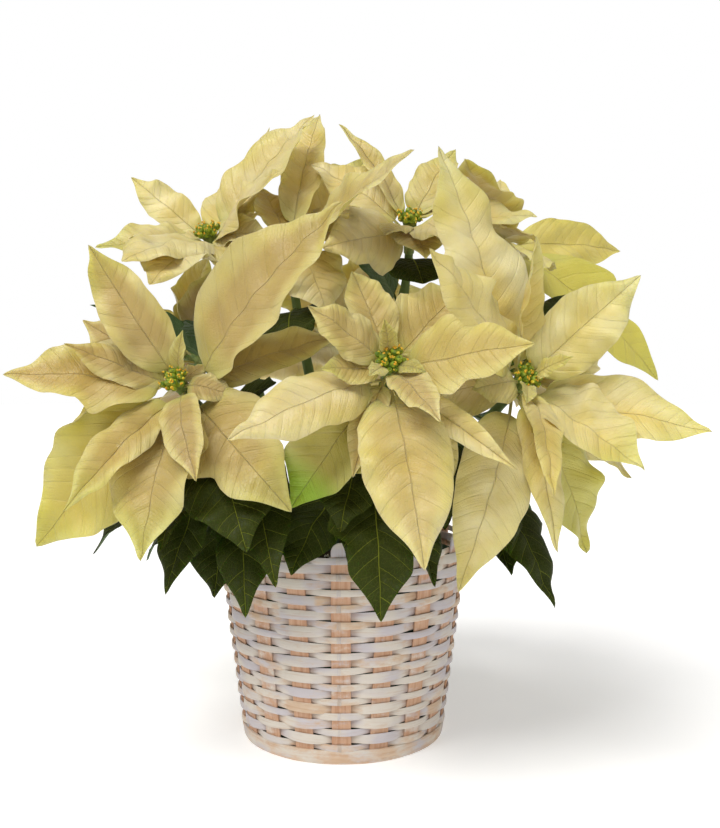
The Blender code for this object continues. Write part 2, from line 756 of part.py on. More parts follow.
def turned_ring(name, profile, steps, collection):
    """A solid turned about Z from a closed profile of (radius, height) points."""
    mesh = bpy.data.meshes.new(name)
    count = len(profile)
    edges = [(i, (i + 1) % count) for i in range(count)]
    mesh.from_pydata([(r, 0.0, z) for r, z in profile], edges, [])
    made = bpy.data.objects.new(name, mesh)
    collection.objects.link(made)
    screw = made.modifiers.new("Turn", "SCREW")
    screw.axis = "Z"
    screw.angle = math.tau
    screw.steps = screw.render_steps = steps
    screw.use_merge_vertices = True
    screw.merge_threshold = 0.00005
    screw.use_smooth_shade = False
    return made


def baked(thing):
    """The object's mesh with its modifiers applied."""
    view = bpy.context.evaluated_depsgraph_get()
    return bpy.data.meshes.new_from_object(thing.evaluated_get(view))


def apply_modifiers(thing):
    """Put the evaluated mesh in the object and drop its modifiers."""
    mesh = baked(thing)
    old = thing.data
    thing.modifiers.clear()
    thing.data = mesh
    if old.users == 0:
        bpy.data.meshes.remove(old)


def cut(thing, cutter):
    """Cut a hidden guide out of the object."""
    cutter.hide_render = True
    cutter.display_type = "WIRE"
    hole = thing.modifiers.new("Cut " + cutter.name, "BOOLEAN")
    hole.operation = "DIFFERENCE"
    hole.object = cutter


def keep_largest(mesh):
    """Drop every loose scrap of the mesh but its largest piece."""
    shape = bmesh.new()
    shape.from_mesh(mesh)
    left = set(shape.verts)
    groups = []
    while left:
        stack = [left.pop()]
        group = list(stack)
        while stack:
            for edge in stack.pop().link_edges:
                for vert in edge.verts:
                    if vert in left:
                        left.remove(vert)
                        stack.append(vert)
                        group.append(vert)
        groups.append(group)
    groups.sort(key=len)
    scraps = [vert for group in groups[:-1] for vert in group]
    bmesh.ops.delete(shape, geom=scraps, context="VERTS")
    shape.to_mesh(mesh)
    shape.free()


def crosses_itself(shape):
    """Whether faces of the triangulated shape that share no corner cut each other."""
    shape.verts.index_update()
    shape.faces.index_update()
    tree = BVHTree.FromBMesh(shape)
    corners = [{vert.index for vert in face.verts} for face in shape.faces]
    return any(not corners[a] & corners[b] for a, b in tree.overlap(tree) if a < b)


def merge_close(mesh):
    """Merge corners that the union left close together, as far as the body stays sound."""
    for reach in MERGE_REACHES:
        shape = bmesh.new()
        shape.from_mesh(mesh)
        bmesh.ops.remove_doubles(shape, verts=shape.verts, dist=reach)
        bmesh.ops.dissolve_degenerate(shape, edges=shape.edges, dist=MERGE_REACHES[-1] / 10)
        bmesh.ops.triangulate(shape, faces=shape.faces)
        sound = all(len(edge.link_faces) == 2 for edge in shape.edges)
        if sound and not crosses_itself(shape):
            shape.to_mesh(mesh)
            shape.free()
            return
        shape.free()


def fuse(pieces, name, collection):
    """Join the pieces into one body by one Boolean union, and remove them."""
    body = pieces[0]
    body.name = name
    rest = new_collection(name + "_pieces")
    for piece in pieces[1:]:
        for holder in list(piece.users_collection):
            holder.objects.unlink(piece)
        rest.objects.link(piece)
    join = body.modifiers.new("Join", "BOOLEAN")
    join.operation = "UNION"
    join.operand_type = "COLLECTION"
    join.collection = rest
    join.solver = "MANIFOLD"
    apply_modifiers(body)
    for piece in list(rest.objects):
        bpy.data.objects.remove(piece, do_unlink=True)
    bpy.data.collections.remove(rest)
    keep_largest(body.data)
    merge_close(body.data)
    for holder in list(body.users_collection):
        holder.objects.unlink(body)
    collection.objects.link(body)
    return body


def painted(thing, material):
    """Give the object its material."""
    thing.data.materials.clear()
    thing.data.materials.append(material)
    return thing


def weave_levels():
    """Each row of the weave: its lower and upper height, and whether it is narrow."""
    z = BASKET_ROWS_TOP
    rows = []
    for k in range(ROW_COUNT):
        narrow = k % 2 == 0
        height = NARROW_ROW if narrow else WIDE_ROW
        rows.append((z - height, z, narrow))
        z -= height
    return rows[::-1]


def wall_angles():
    """The azimuths of the stakes' two edges, all round."""
    angles = []
    half = math.asin(STAKE_WIDTH / 2 / outer_radius(STAKE_SHARE_HEIGHT * BASKET_ROWS_TOP))
    for k in range(STAKE_COUNT):
        middle = math.tau * k / STAKE_COUNT - math.pi / 2
        angles += [middle - half, middle + half]
    return angles


def basket_wall(collection):
    """The woven wall: each row passes outside every other stake and inside the rest."""
    count = 2 * STAKE_COUNT
    top = BASKET_ROWS_TOP
    edge = HOOP_HEIGHT + GAP
    plain = HOOP_THICKNESS + FACET_ROOM
    rings = [[(outer_radius(z) - plain, z)] * count for z in (0.0, edge)]
    for low, high, narrow in weave_levels():
        z = (low + high) / 2
        ring = []
        for k in range(count):
            outside = (k // 2 % 2 == 0) == narrow
            inset = 0.0 if outside else 2 * WEAVE_SWING
            ring.append((outer_radius(z) - inset, z))
        rings.append(ring)
    rings.append([(outer_radius(top) - WEAVE_SWING, top)] * count)
    rings.append([(outer_radius(top) - WALL_THICKNESS, top)] * count)
    rings.append([(outer_radius(0.0) - WALL_THICKNESS, 0.0)] * count)
    points = []
    for ring in rings:
        for angle, (radius, z) in zip(wall_angles(), ring):
            points.append((radius * math.cos(angle), radius * math.sin(angle), z))
    over_stakes = []
    shape = bmesh.new()
    verts = [shape.verts.new(point) for point in points]
    for i in range(len(rings)):
        low = i * count
        high = (i + 1) % len(rings) * count
        for k in range(count):
            n = (k + 1) % count
            corners = (verts[low + k], verts[low + n], verts[high + n], verts[high + k])
            face = shape.faces.new(corners)
            if i == len(rings) - 3 and k % 2 == 0:
                over_stakes.append(face)
    raise_stake_ends(shape, over_stakes)
    bmesh.ops.triangulate(shape, faces=shape.faces)
    return bmesh_object("basket_wall", shape, collection)


def raise_stake_ends(shape, faces):
    """Pull the wall's top faces over the stakes up into their rounded ends."""
    for face in faces:
        made = bmesh.ops.extrude_discrete_faces(shape, faces=[face])["faces"][0]
        centre = made.calc_center_median()
        for vert in made.verts:
            across = vert.co - centre
            vert.co = centre + STAKE_END_SHARE * across
            vert.co.z = STAKE_END_TOP


def basket_hoop(collection):
    """The plain band round the foot of the weave."""
    high = HOOP_HEIGHT
    inner = HOOP_THICKNESS
    profile = [
        (outer_radius(high), high),
        (outer_radius(0.0), 0.0),
        (outer_radius(0.0) - inner, 0.0),
        (outer_radius(high) - inner, high),
    ]
    return turned_ring("basket_hoop", profile, ROUND_SIDES, collection)


def basket_base(collection):
    """The board in the bottom of the basket."""
    radius = outer_radius(0.0) - WALL_THICKNESS - FACET_ROOM
    size = (FLOOR_THICKNESS, radius, radius, ROUND_SIDES)
    return cylinder("basket_base", (0.0, 0.0, 0.0), (0.0, 0.0, 1.0), *size, collection)


def grower_pot(collection, cutters):
    """The plastic pot, with a lip and drain holes."""
    low = FLOOR_THICKNESS + GAP
    top = low + POT_HEIGHT
    lip = POT_LIP
    wall = POT_WALL
    inner_top = POT_RIM_RADIUS - 2 * wall
    profile = [
        (POT_RIM_RADIUS, top),
        (POT_RIM_RADIUS, top - lip),
        (POT_RIM_RADIUS - wall, top - lip),
        (POT_BASE_RADIUS, low),
        (0.0, low),
        (0.0, low + wall),
        (POT_BASE_RADIUS - wall, low + wall),
        (inner_top, top),
    ]
    pot = turned_ring("grower_pot", profile, POT_SIDES, collection)
    for k in range(DRAIN_COUNT):
        angle = math.tau * (k + 0.5) / DRAIN_COUNT
        x = DRAIN_DISTANCE * math.cos(angle)
        y = DRAIN_DISTANCE * math.sin(angle)
        size = ((0.0, 0.0, 1.0), DRAIN_DEPTH, DRAIN_RADIUS, DRAIN_RADIUS, 6)
        cut(pot, cylinder("drain_%d" % k, (x, y, low - DRAIN_DEPTH / 2), *size, cutters))
    return pot


def pot_inside(z):
    """The pot's inner radius at a height."""
    low = FLOOR_THICKNESS + GAP + POT_WALL
    top = FLOOR_THICKNESS + GAP + POT_HEIGHT
    share = (z - low) / (top - low)
    base = POT_BASE_RADIUS - POT_WALL
    return base + share * (POT_RIM_RADIUS - 2 * POT_WALL - base)


def potting_mix(collection, cutters):
    """The soil, filled to below the pot's lip, with a hole for each trunk."""
    low = FLOOR_THICKNESS + POT_WALL + 2 * GAP
    edge = SOIL_TOP - SOIL_EDGE_DROP
    profile = [
        (SOIL_FLAT_RADIUS, SOIL_TOP - SOIL_FLAT_DROP),
        (pot_inside(edge) - 2 * GAP, edge),
        (pot_inside(low) - 2 * GAP, low),
        (0.0, low),
        (0.0, SOIL_TOP),
    ]
    soil = turned_ring("potting_mix", profile, POT_SIDES, collection)
    for plant, ((x, y), _) in PLANTS.items():
        start = (x * MM, y * MM, SOIL_TOP - SOIL_HOLE_DEPTH)
        size = ((0.0, 0.0, 1.0), SOIL_HOLE_DEPTH + 0.01, TRUNK_RADIUS + GAP)
        cut(soil, cylinder("hole_" + plant, start, *size, TRUNK_RADIUS + GAP, 8, cutters))
    return soil


def shoot(plant, bloom, collection):
    """One shoot as a bevelled curve made a mesh with welded caps."""
    points = shoot_points(plant, bloom)
    curve = bpy.data.curves.new("shoot", "CURVE")
    curve.dimensions = "3D"
    curve.bevel_depth = SHOOT_RADIUS
    curve.bevel_resolution = 1
    curve.use_fill_caps = True
    line = curve.splines.new("POLY")
    line.points.add(len(points) - 1)
    for k, point in enumerate(points):
        line.points[k].co = (*point, 1.0)
        line.points[k].radius = 1 + SHOOT_TAPER * (1 - k / (len(points) - 1))
    tube = bpy.data.objects.new("shoot", curve)
    collection.objects.link(tube)
    mesh = baked(tube)
    bpy.data.objects.remove(tube, do_unlink=True)
    shape = bmesh.new()
    shape.from_mesh(mesh)
    bmesh.ops.remove_doubles(shape, verts=shape.verts, dist=0.00001)
    bmesh.ops.triangulate(shape, faces=shape.faces)
    return bmesh_object("shoot", shape, collection)


def leafy_plant(plant, blades, collection):
    """A trunk, its shoots and their green leaves."""
    (x, y), blooms = PLANTS[plant]
    low = SOIL_TOP - SOIL_HOLE_DEPTH + GAP
    start = (x * MM, y * MM, low)
    size = (FORK_HEIGHT + TRUNK_ABOVE_FORK - low, TRUNK_RADIUS, TRUNK_TOP_RADIUS, 8)
    pieces = [cylinder(plant, start, (0.0, 0.0, 1.0), *size, collection)]
    pieces += [shoot(plant, bloom, collection) for bloom in blooms]
    for blade in blades:
        pieces.append(mesh_object("leaf", *coarse_blade(blade), collection))
    return fuse(pieces, plant, collection)


def bract_whorl(name, blades, collection):
    """The bracts of a bloom on the short hub that tops its shoot."""
    centre, axis, _, _ = bloom_axes(name)
    start = centre - (HUB_TOP + HUB_LENGTH) * axis
    size = (HUB_LENGTH, 0.8 * HUB_RADIUS, HUB_RADIUS, 8)
    pieces = [cylinder("hub", start, axis, *size, collection)]
    for blade in blades:
        pieces.append(mesh_object("bract", *coarse_blade(blade), collection))
    return fuse(pieces, "bracts_" + name, collection)


def flower_cups(name, collection):
    """The knot of small flower cups in the middle of a bloom."""
    centre, axis, right, up = bloom_axes(name)
    start = centre - (HUB_TOP - GAP) * axis
    pieces = [cylinder("disc", start, axis, DISC_HEIGHT, *DISC_RADII, 5, collection)]
    for k in range(OUTER_CUPS + 1):
        angle = math.tau * (k + 0.2) / OUTER_CUPS
        away = math.cos(angle) * right + math.sin(angle) * up
        out = 1.0 if k < OUTER_CUPS else 0.0
        foot = centre + 0.8 * out * CUP_RING * away - CUP_SUNK * axis
        way = unit(axis + 0.30 * out * away)
        size = (CUP_LENGTHS[k % 2], *CUP_RADII, 4)
        pieces.append(cylinder("cup", foot, way, *size, collection))
    return fuse(pieces, "cups_" + name, collection)


def main():
    clear_scene()
    parts = new_collection("poinsettia_in_basket")
    cutters = new_collection("cutters")
    painted(basket_wall(parts), finish("whitewashed_weave", *WHITEWASHED_WOOD))
    painted(basket_hoop(parts), finish("whitewashed_hoop", *WHITEWASHED_WOOD))
    painted(basket_base(parts), finish("base_board", *PLAIN_WOOD))
    painted(grower_pot(parts, cutters), finish("green_plastic", *GREEN_PLASTIC))
    painted(potting_mix(parts, cutters), finish("soil", *SOIL))
    blades = plan()
    for plant in PLANTS:
        own = [blade for blade in blades if blade.node == plant]
        painted(leafy_plant(plant, own, parts), finish("green_" + plant, *LEAF_GREEN))
    for name in BLOOMS:
        own = [blade for blade in blades if blade.node == "bracts_" + name]
        painted(bract_whorl(name, own, parts), finish("cream_" + name, *CREAM))
        painted(flower_cups(name, parts), finish("cups_" + name, *YELLOW_GREEN))


if __name__ == "__main__":
    main()
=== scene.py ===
"""Looks of a white poinsettia in a whitewashed woven basket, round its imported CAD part.

The dimensions, the tables and the plan of the blades are the same as in the part's
source, in metres, so that every fine bract and leaf lies where its solid lies.
"""

import copy
import math

import bmesh
import bpy
import numpy as np
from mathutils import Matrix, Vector
from mathutils.bvhtree import BVHTree


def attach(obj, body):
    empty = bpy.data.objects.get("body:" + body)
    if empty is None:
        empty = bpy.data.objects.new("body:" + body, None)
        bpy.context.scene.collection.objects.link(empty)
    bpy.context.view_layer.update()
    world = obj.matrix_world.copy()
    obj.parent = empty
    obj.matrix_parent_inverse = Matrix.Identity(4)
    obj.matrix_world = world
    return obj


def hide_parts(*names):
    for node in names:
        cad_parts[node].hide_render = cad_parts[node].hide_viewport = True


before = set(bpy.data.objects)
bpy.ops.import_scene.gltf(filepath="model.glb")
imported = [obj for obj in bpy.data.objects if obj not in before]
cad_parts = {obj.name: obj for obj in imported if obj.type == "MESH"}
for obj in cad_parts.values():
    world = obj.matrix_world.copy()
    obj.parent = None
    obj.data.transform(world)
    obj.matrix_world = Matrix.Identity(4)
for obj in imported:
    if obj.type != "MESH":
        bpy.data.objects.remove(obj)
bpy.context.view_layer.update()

MM = 0.001  # the tables of blooms and leaves below are in millimetres

# Basket
BASKET_BASE_RADIUS = 0.071
BASKET_RIM_RADIUS = 0.090
BASKET_ROWS_TOP = 0.1385
STAKE_COUNT = 18
STAKE_WIDTH = 0.0125
STAKE_END_TOP = 0.1480
HOOP_HEIGHT = 0.0095
HOOP_THICKNESS = 0.0016
NARROW_ROW = 0.0043
WIDE_ROW = 0.0061
ROW_COUNT = 25
FLOOR_THICKNESS = 0.0032
ROUND_SIDES = 36

# Pot and soil inside the basket
POT_RIM_RADIUS = 0.0815
POT_BASE_RADIUS = 0.0590
POT_HEIGHT = 0.1220
POT_WALL = 0.0016
POT_LIP = 0.0090
SOIL_TOP = 0.1150
SOIL_EDGE_DROP = 0.0030
TRUNK_RADIUS = 0.0050
TRUNK_TOP_RADIUS = 0.0044
TRUNK_ABOVE_FORK = 0.004
SHOOT_RADIUS = 0.0031
SHOOT_TAPER = 0.25  # how much thicker a shoot is at its fork
SHOOT_LEAN = 0.24  # how far a shoot leans out before it rises, as a share of its reach
SHOOT_RISE = 0.22  # how far it rises by then, as a share of its whole way
SHOOT_TAIL = 0.045  # how long a shoot runs along its bloom's axis
SHOOT_SAMPLES = 60  # points of a shoot among which a leaf's foot is looked for
FORK_HEIGHT = 0.1420

# Blades
BLADE_THICKNESS = 0.00075
PETIOLE_THICKNESS = 0.0016
PETIOLE_HALF_WIDTH = 0.0011
OUTLINE_RISE = 0.46  # the outline is u to the rise times (1 - u) to the fall
OUTLINE_FALL = 0.76
TOOTH_AT = (0.0, 0.22, 0.44, 0.53, 0.72, 1.0)
TOOTH_OUT = (0.0, 0.0, 0.20, -0.20, 0.0, 0.0)
ARCH_SKEW = 0.8  # below 1 the midrib is highest nearer the root
SHORT_BLADE = 0.048  # blades below this length have the short rows
SHORT_ROWS = (0.02, 0.26, 0.64)  # cross rows, as shares of the length past the stalk
PLAIN_ROWS = (0.01, 0.18, 0.43, 0.73)
TOOTHED_ROWS = (0.01, 0.20, 0.44, 0.53, 0.80)
RULE_ROWS = (0.01, 0.30, 0.68)  # for the plain blades that are laid by rule
LEAF_PETIOLE = 0.26
LEAF_TILT = 0.55  # how far a leaf's face leans outwards
HUB_RADIUS = 0.0048
HUB_LENGTH = 0.0240
HUB_TOP = 0.0030
HIGHEST_ROOT = 0.0040
ROOT_STEP = 0.0015
ROOT_DISTANCE = 0.0029  # from the hub's axis to the roots of the bracts
CUPS_RADIUS = 0.0066  # room for the whole knot of cups
CUPS_HEIGHT = 0.0055
GAP = 0.0003
CROSSES_ANOTHER = 50  # what cutting into another plant or bloom costs a place
SAFE = 0.0011  # room kept on each side of a blade when it is laid

# Where the front view is seen from, so that a blade can be moved along the line of sight
EYE_POINT = (0.012, -0.700, 0.259)

# Plants: where each trunk stands in the soil, and the blooms of its shoots
PLANTS = {
    "plant_left": ((-34, 10), ("left", "top_left", "side_left")),
    "plant_right": ((36, 14), ("right", "top_right", "side_right", "back")),
    "plant_middle": ((2, -34), ("front", "top_front", "top_back")),
}

# Blooms: the middle of the flower cups, and the way the bloom faces
BLOOMS = {
    "front": ((30, -115, 262), (0.05, -0.85, 0.52)),
    "left": ((-105, -75, 250), (-0.30, -0.80, 0.52)),
    "right": ((117, -80, 252), (0.32, -0.80, 0.50)),
    "top_left": ((-96, 5, 353), (-0.25, -0.55, 0.80)),
    "top_front": ((47, 0, 362), (0.00, -0.55, 0.83)),
    "top_back": ((-38, 6, 352), (-0.05, -0.30, 0.95)),
    "top_right": ((118, 55, 357), (0.35, -0.25, 0.90)),
    "side_left": ((-126, 66, 270), (-0.78, 0.40, 0.50)),
    "side_right": ((128, 70, 258), (0.80, 0.38, 0.46)),
    "back": ((8, 138, 286), (0.02, 0.84, 0.54)),
}

# Bracts that the front view shows. Each row is the tip, measured from the middle of
# the flower cups to the right, to the front and up, then the width, the arch in
# hundredths of the length, the roll and the fold in degrees, and whether it has teeth.
BRACTS = {
    "front": [
        (16, 70, -111, 54, 10, 0, 10, 0),
        (-91, 45, -44, 40, 9, 0, 6, 0),
        (-48, 20, 31, 30, 8, 0, 8, 0),
        (50, -32, 48, 44, 8, 0, 12, 1),
        (79, 35, 9, 44, 6, 10, 10, 1),
        (-40, 35, -5, 24, 10, 0, 6, 0),
        (26, 45, -34, 24, 14, 0, 10, 0),
        (66, 60, -59, 21, 8, 20, 30, 0),
        (-22, 35, -66, 22, 10, 10, 18, 0),
        (-23, -10, 53, 31, 8, 0, 20, 0),
        (-58, 15, -86, 56, 8, 0, 8, 1),
        (31, 25, -83, 46, 9, 0, 10, 0),
    ],
    "left": [
        (107, 20, 108, 67, 8, 0, 8, 0),
        (-55, -5, 85, 38, 10, 0, 10, 0),
        (77, 50, -77, 58, 9, 0, 8, 1),
        (-13, 45, -107, 62, 9, 0, 8, 0),
        (-57, 50, -77, 34, 8, -10, 22, 0),
        (-81, 25, -102, 70, 14, -22, 8, 0),
        (-107, 5, 3, 46, 9, 0, 8, 1),
        (-61, 30, 22, 26, 10, 0, 8, 0),
        (23, 60, -58, 28, 12, 0, 10, 0),
        (43, 35, -10, 20, 16, 0, 10, 0),
        (26, 22, 12, 20, 12, 0, 8, 0),
        (107, 0, 28, 34, 8, 0, 8, 0),
        (-62, -15, 38, 34, 8, 0, 8, 0),
    ],
    "right": [
        (-55, -20, 147, 58, 6, 0, 10, 1),
        (-66, 57, 73, 44, 7, 0, 10, 0),
        (111, 15, -34, 50, 1, 0, 10, 0),
        (70, 0, 63, 45, 8, 0, 12, 0),
        (-49, 60, -123, 49, 8, 0, 10, 0),
        (3, 10, 86, 29, 6, 25, 38, 0),
        (67, 25, -57, 50, 4, 0, 12, 0),
        (37, 5, -111, 50, 12, 0, 12, 0),
        (13, 35, -105, 26, 8, 10, 24, 0),
        (6, 55, -69, 22, 12, 0, 14, 0),
        (-38, 27, -8, 30, 12, 0, 10, 0),
        (-59, -20, -14, 40, 8, 0, 8, 0),
    ],
    "top_left": [
        (74, -45, 93, 50, 7, 0, 10, 0),
        (-57, -15, 41, 28, 8, -20, 8, 0),
        (-73, 25, -14, 38, 8, -15, 8, 0),
        (-49, 50, -26, 60, 10, -10, 8, 1),
        (46, 40, -6, 30, 10, 15, 20, 0),
        (27, -38, 50, 40, 4, 0, 10, 1),
        (38, 55, -28, 36, 12, 0, 8, 0),
        (-29, 60, -42, 54, 12, 0, 8, 0),
        (37, -80, 92, 32, 6, 0, 10, 0),
    ],
    "top_front": [
        (-71, -32, 44, 38, 8, -15, 10, 0),
        (-51, -46, 76, 20, 10, 0, 30, 0),
        (35, -34, 55, 32, 8, 0, 12, 0),
        (8, 50, -34, 43, 12, 0, 8, 0),
        (-60, 46, -26, 46, 6, -40, 8, 1),
        (44, 45, -24, 40, 10, 10, 8, 0),
    ],
    "top_back": [
        (84, 82, 41, 42, -3, 34, 10, 0),
        (19, -66, 100, 32, 7, 0, 12, 0),
        (56, -70, 68, 44, 8, 40, 10, 0),
        (28, 34, -60, 49, 12, 0, 8, 0),
        (-34, -40, 58, 44, 6, 0, 8, 0),
    ],
    "top_right": [
        (123, -5, -110, 52, 12, 45, 10, 1),
        (98, -25, -9, 40, 10, 50, 10, 0),
        (-38, -48, 58, 26, 4, 0, 10, 0),
        (9, -65, 54, 34, 8, 0, 10, 0),
    ],
    "side_left": [],
    "side_right": [],
    "back": [],
}

# What each bloom is filled up with where the rows above leave its whorl open:
# how many large and small bracts a full whorl has, and the large one's length and width
WHORLS = {
    "front": (0, 0, 95, 40),
    "left": (0, 0, 95, 40),
    "right": (0, 0, 95, 40),
    "top_left": (5, 2, 92, 50),
    "top_front": (6, 2, 88, 48),
    "top_back": (5, 2, 92, 50),
    "top_right": (6, 2, 100, 50),
    "side_left": (6, 3, 108, 58),
    "side_right": (6, 3, 108, 58),
    "back": (6, 3, 116, 60),
}
# Large and small bracts of the rule: degrees from the bloom's axis, size, degrees kept
# free on each side of a given bract, the first one's turn, and the step of its root
WHORL_RINGS = ((72.0, 1.00, 34.0, 0.25, 4.5), (52.0, 0.60, 0.0, 0.75, 0.5))
WHORL_DROOP = 0.16

# Green leaves that the front view shows: the plant, the bloom of the shoot that carries
# the leaf, the tip, the height at which the stalk leaves the shoot, the width, the arch in
# hundredths of the length, the fold in degrees, and whether the leaf has teeth
LEAVES = [
    ("plant_middle", "front", (24, -137, 111), 185, 52, 22, 8, 1),
    ("plant_middle", "front", (56, -127, 129), 180, 38, 22, 34, 0),
    ("plant_middle", "front", (-30, -104, 131), 172, 52, 22, 8, 1),
    ("plant_left", "left", (-56, -120, 109), 176, 44, 22, 8, 1),
    ("plant_left", "left", (-37, -132, 130), 184, 42, 22, 14, 0),
    ("plant_left", "left", (-105, -112, 121), 182, 46, 20, 10, 1),
    ("plant_left", "left", (-160, -70, 137), 186, 54, 18, 8, 0),
    ("plant_left", "left", (-112, -92, 144), 196, 44, 18, 10, 0),
    ("plant_middle", "front", (0, -118, 160), 196, 50, 18, 8, 1),
    ("plant_right", "right", (133, -92, 108), 178, 50, 20, 10, 1),
    ("plant_right", "right", (104, -98, 142), 182, 50, 18, 10, 0),
    ("plant_right", "right", (171, 20, 311), 232, 40, 12, 12, 0),
    ("plant_left", "side_left", (-182, 12, 302), 240, 40, 12, 10, 0),
    ("plant_left", "top_left", (-104, -48, 288), 262, 36, 12, 10, 0),
    ("plant_middle", "top_front", (4, 34, 356), 292, 60, 10, 10, 0),
    ("plant_middle", "top_back", (-36, -42, 266), 300, 54, 12, 8, 0),
    ("plant_middle", "front", (-36, -84, 200), 204, 48, 6, 8, 0),
    ("plant_middle", "top_front", (54, -50, 310), 334, 60, 14, 8, 0),
    ("plant_left", "left", (-42, -62, 248), 222, 48, 2, 8, 0),
    ("plant_right", "right", (46, -72, 240), 222, 54, 2, 8, 0),
]

# Leaves laid by rule in rings round the shoots: the count, the first azimuth, the
# distance of the tips from the middle, their height, the height at which the stalks
# leave the shoots, the width and the arch
LEAF_RINGS = [
    (8, 8, 134, 130, 176, 60, 20),
    (8, -22, 158, 196, 222, 64, 14),
    (6, 20, 132, 262, 272, 54, 10),
    (6, 12, 104, 222, 284, 64, 12),
    (5, 25, 84, 286, 330, 56, 10),
]


class Blade:
    """One bract or leaf: from root to tip, facing one way, with its width and bends."""

    def __init__(self, node, root, tip, width, facing, **shape):
        self.node = node
        self.root = np.array(root, float)
        self.tip = np.array(tip, float)
        self.width = width
        self.facing = np.array(facing, float)
        self.arch = 0.08
        self.roll = 0.0
        self.fold = 10.0
        self.petiole = 0.13
        self.toothed = False
        self.green = False
        self.seen = True
        self.row = -1
        for name, value in shape.items():
            setattr(self, name, value)

    def changed(self, **shape):
        """A copy with some values changed."""
        other = copy.copy(self)
        for name, value in shape.items():
            setattr(other, name, value)
        return other

    def length(self):
        """From the root straight to the tip."""
        return float(np.linalg.norm(self.tip - self.root))


def unit(vector):
    """The vector at length 1."""
    return vector / np.linalg.norm(vector)


def turned(vector, axis, degrees):
    """The vector turned about the axis."""
    angle = math.radians(degrees)
    return (
        vector * math.cos(angle)
        + np.cross(axis, vector) * math.sin(angle)
        + axis * (axis @ vector) * (1 - math.cos(angle))
    )


def bezier(points, t):
    """Points of a cubic Bezier curve at the values t."""
    t = np.asarray(t, float)[:, None]
    a, b, c, d = (np.asarray(p, float) for p in points)
    return (1 - t) ** 3 * a + 3 * t * (1 - t) ** 2 * b + 3 * t**2 * (1 - t) * c + t**3 * d


def tooth(u, toothed):
    """How far a toothed blade's edge stands out or cuts in at u, as a factor."""
    if not toothed:
        return np.ones_like(u)
    return 1 + np.interp(u, TOOTH_AT, TOOTH_OUT)


def past_stalk(blade, t):
    """From 0 at the end of the stalk to 1 at the tip, where t is 0 at the root."""
    return np.clip((t - blade.petiole) / (1 - blade.petiole), 0, 1)


def outline(u):
    """A blade's width past its stalk, as a share of its greatest width."""
    peak = OUTLINE_RISE / (OUTLINE_RISE + OUTLINE_FALL)
    broadest = peak**OUTLINE_RISE * (1 - peak) ** OUTLINE_FALL
    return u**OUTLINE_RISE * (1 - u) ** OUTLINE_FALL / broadest


def half_width(blade, t):
    """Half the blade's width at t, from 0 at the root to 1 at the tip."""
    u = past_stalk(blade, t)
    body = outline(u) * tooth(u, blade.toothed)
    return np.maximum(PETIOLE_HALF_WIDTH * (1 - u), blade.width / 2 * body)


def blade_frame(blade, t):
    """The midrib's points, and the directions across and out of the face."""
    t = np.asarray(t, float)
    reach = blade.tip - blade.root
    length = np.linalg.norm(reach)
    along = reach / length
    face = blade.facing - (blade.facing @ along) * along
    face = turned(unit(face), along, blade.roll)

    def midrib(s):
        rise = blade.arch * length * np.sin(math.pi * np.clip(s, 0, 1) ** ARCH_SKEW)
        return blade.root + s[:, None] * reach + rise[:, None] * face

    step = 0.01
    tangent = midrib(np.minimum(t + step, 1)) - midrib(np.maximum(t - step, 0))
    tangent /= np.linalg.norm(tangent, axis=1)[:, None]
    normal = face - (tangent @ face)[:, None] * tangent
    normal /= np.linalg.norm(normal, axis=1)[:, None]
    return midrib(t), np.cross(tangent, normal), normal


def stations(blade):
    """Where the coarse blade has its rows, from the root to the last row before the tip."""
    if blade.length() < SHORT_BLADE:
        inner = SHORT_ROWS
    elif not blade.seen and not blade.toothed:
        inner = RULE_ROWS
    elif blade.toothed:
        inner = TOOTHED_ROWS
    else:
        inner = PLAIN_ROWS
    return np.array([0.0] + [blade.petiole + (1 - blade.petiole) * u for u in inner])


def coarse_blade(blade, extra=0.0, first=0):
    """Points and triangles of the closed blade. extra thickens it on each side."""
    rows = stations(blade)[first:]
    t = np.append(rows, 1.0)
    middle, across, normal = blade_frame(blade, t)
    half = half_width(blade, t) + extra
    fold = math.radians(blade.fold)
    ends = (blade.petiole, blade.petiole + 0.15)
    thick = np.interp(t, ends, (PETIOLE_THICKNESS, BLADE_THICKNESS)) / 2 + extra
    side = half[:, None] * math.cos(fold) * across
    lift = (half * math.sin(fold))[:, None] * normal
    lean = math.sin(fold) * across
    count = len(rows)
    points = []
    for sign in (1, -1):
        offset = sign * thick[:, None]
        points.append(middle - side + lift + offset * (math.cos(fold) * normal + lean))
        points.append(middle + offset * normal / math.cos(fold))
        points.append(middle + side + lift + offset * (math.cos(fold) * normal - lean))
    ends = [points[1][count], points[4][count]]
    flat = np.concatenate([p[:count] for p in points] + [np.array(ends)])
    top_tip = 6 * count
    bottom_tip = top_tip + 1
    left, mid, right, low_left, low_mid, low_right = (k * count for k in range(6))
    faces = []

    def quad(a, b, c, d):
        faces.append((a, b, c))
        faces.append((a, c, d))

    for i in range(count - 1):
        j = i + 1
        quad(left + i, mid + i, mid + j, left + j)
        quad(mid + i, right + i, right + j, mid + j)
        faces.append((low_left + i, low_mid + j, low_mid + i))
        faces.append((low_left + i, low_left + j, low_mid + j))
        faces.append((low_mid + i, low_right + j, low_right + i))
        faces.append((low_mid + i, low_mid + j, low_right + j))
        quad(left + i, left + j, low_left + j, low_left + i)
        quad(right + j, right + i, low_right + i, low_right + j)
    k = count - 1
    faces.append((left + k, mid + k, top_tip))
    faces.append((mid + k, right + k, top_tip))
    faces.append((low_mid + k, low_left + k, bottom_tip))
    faces.append((low_right + k, low_mid + k, bottom_tip))
    quad(left + k, top_tip, bottom_tip, low_left + k)
    quad(top_tip, right + k, low_right + k, bottom_tip)
    quad(left, low_left, low_mid, mid)
    quad(mid, low_mid, low_right, right)
    return flat, faces


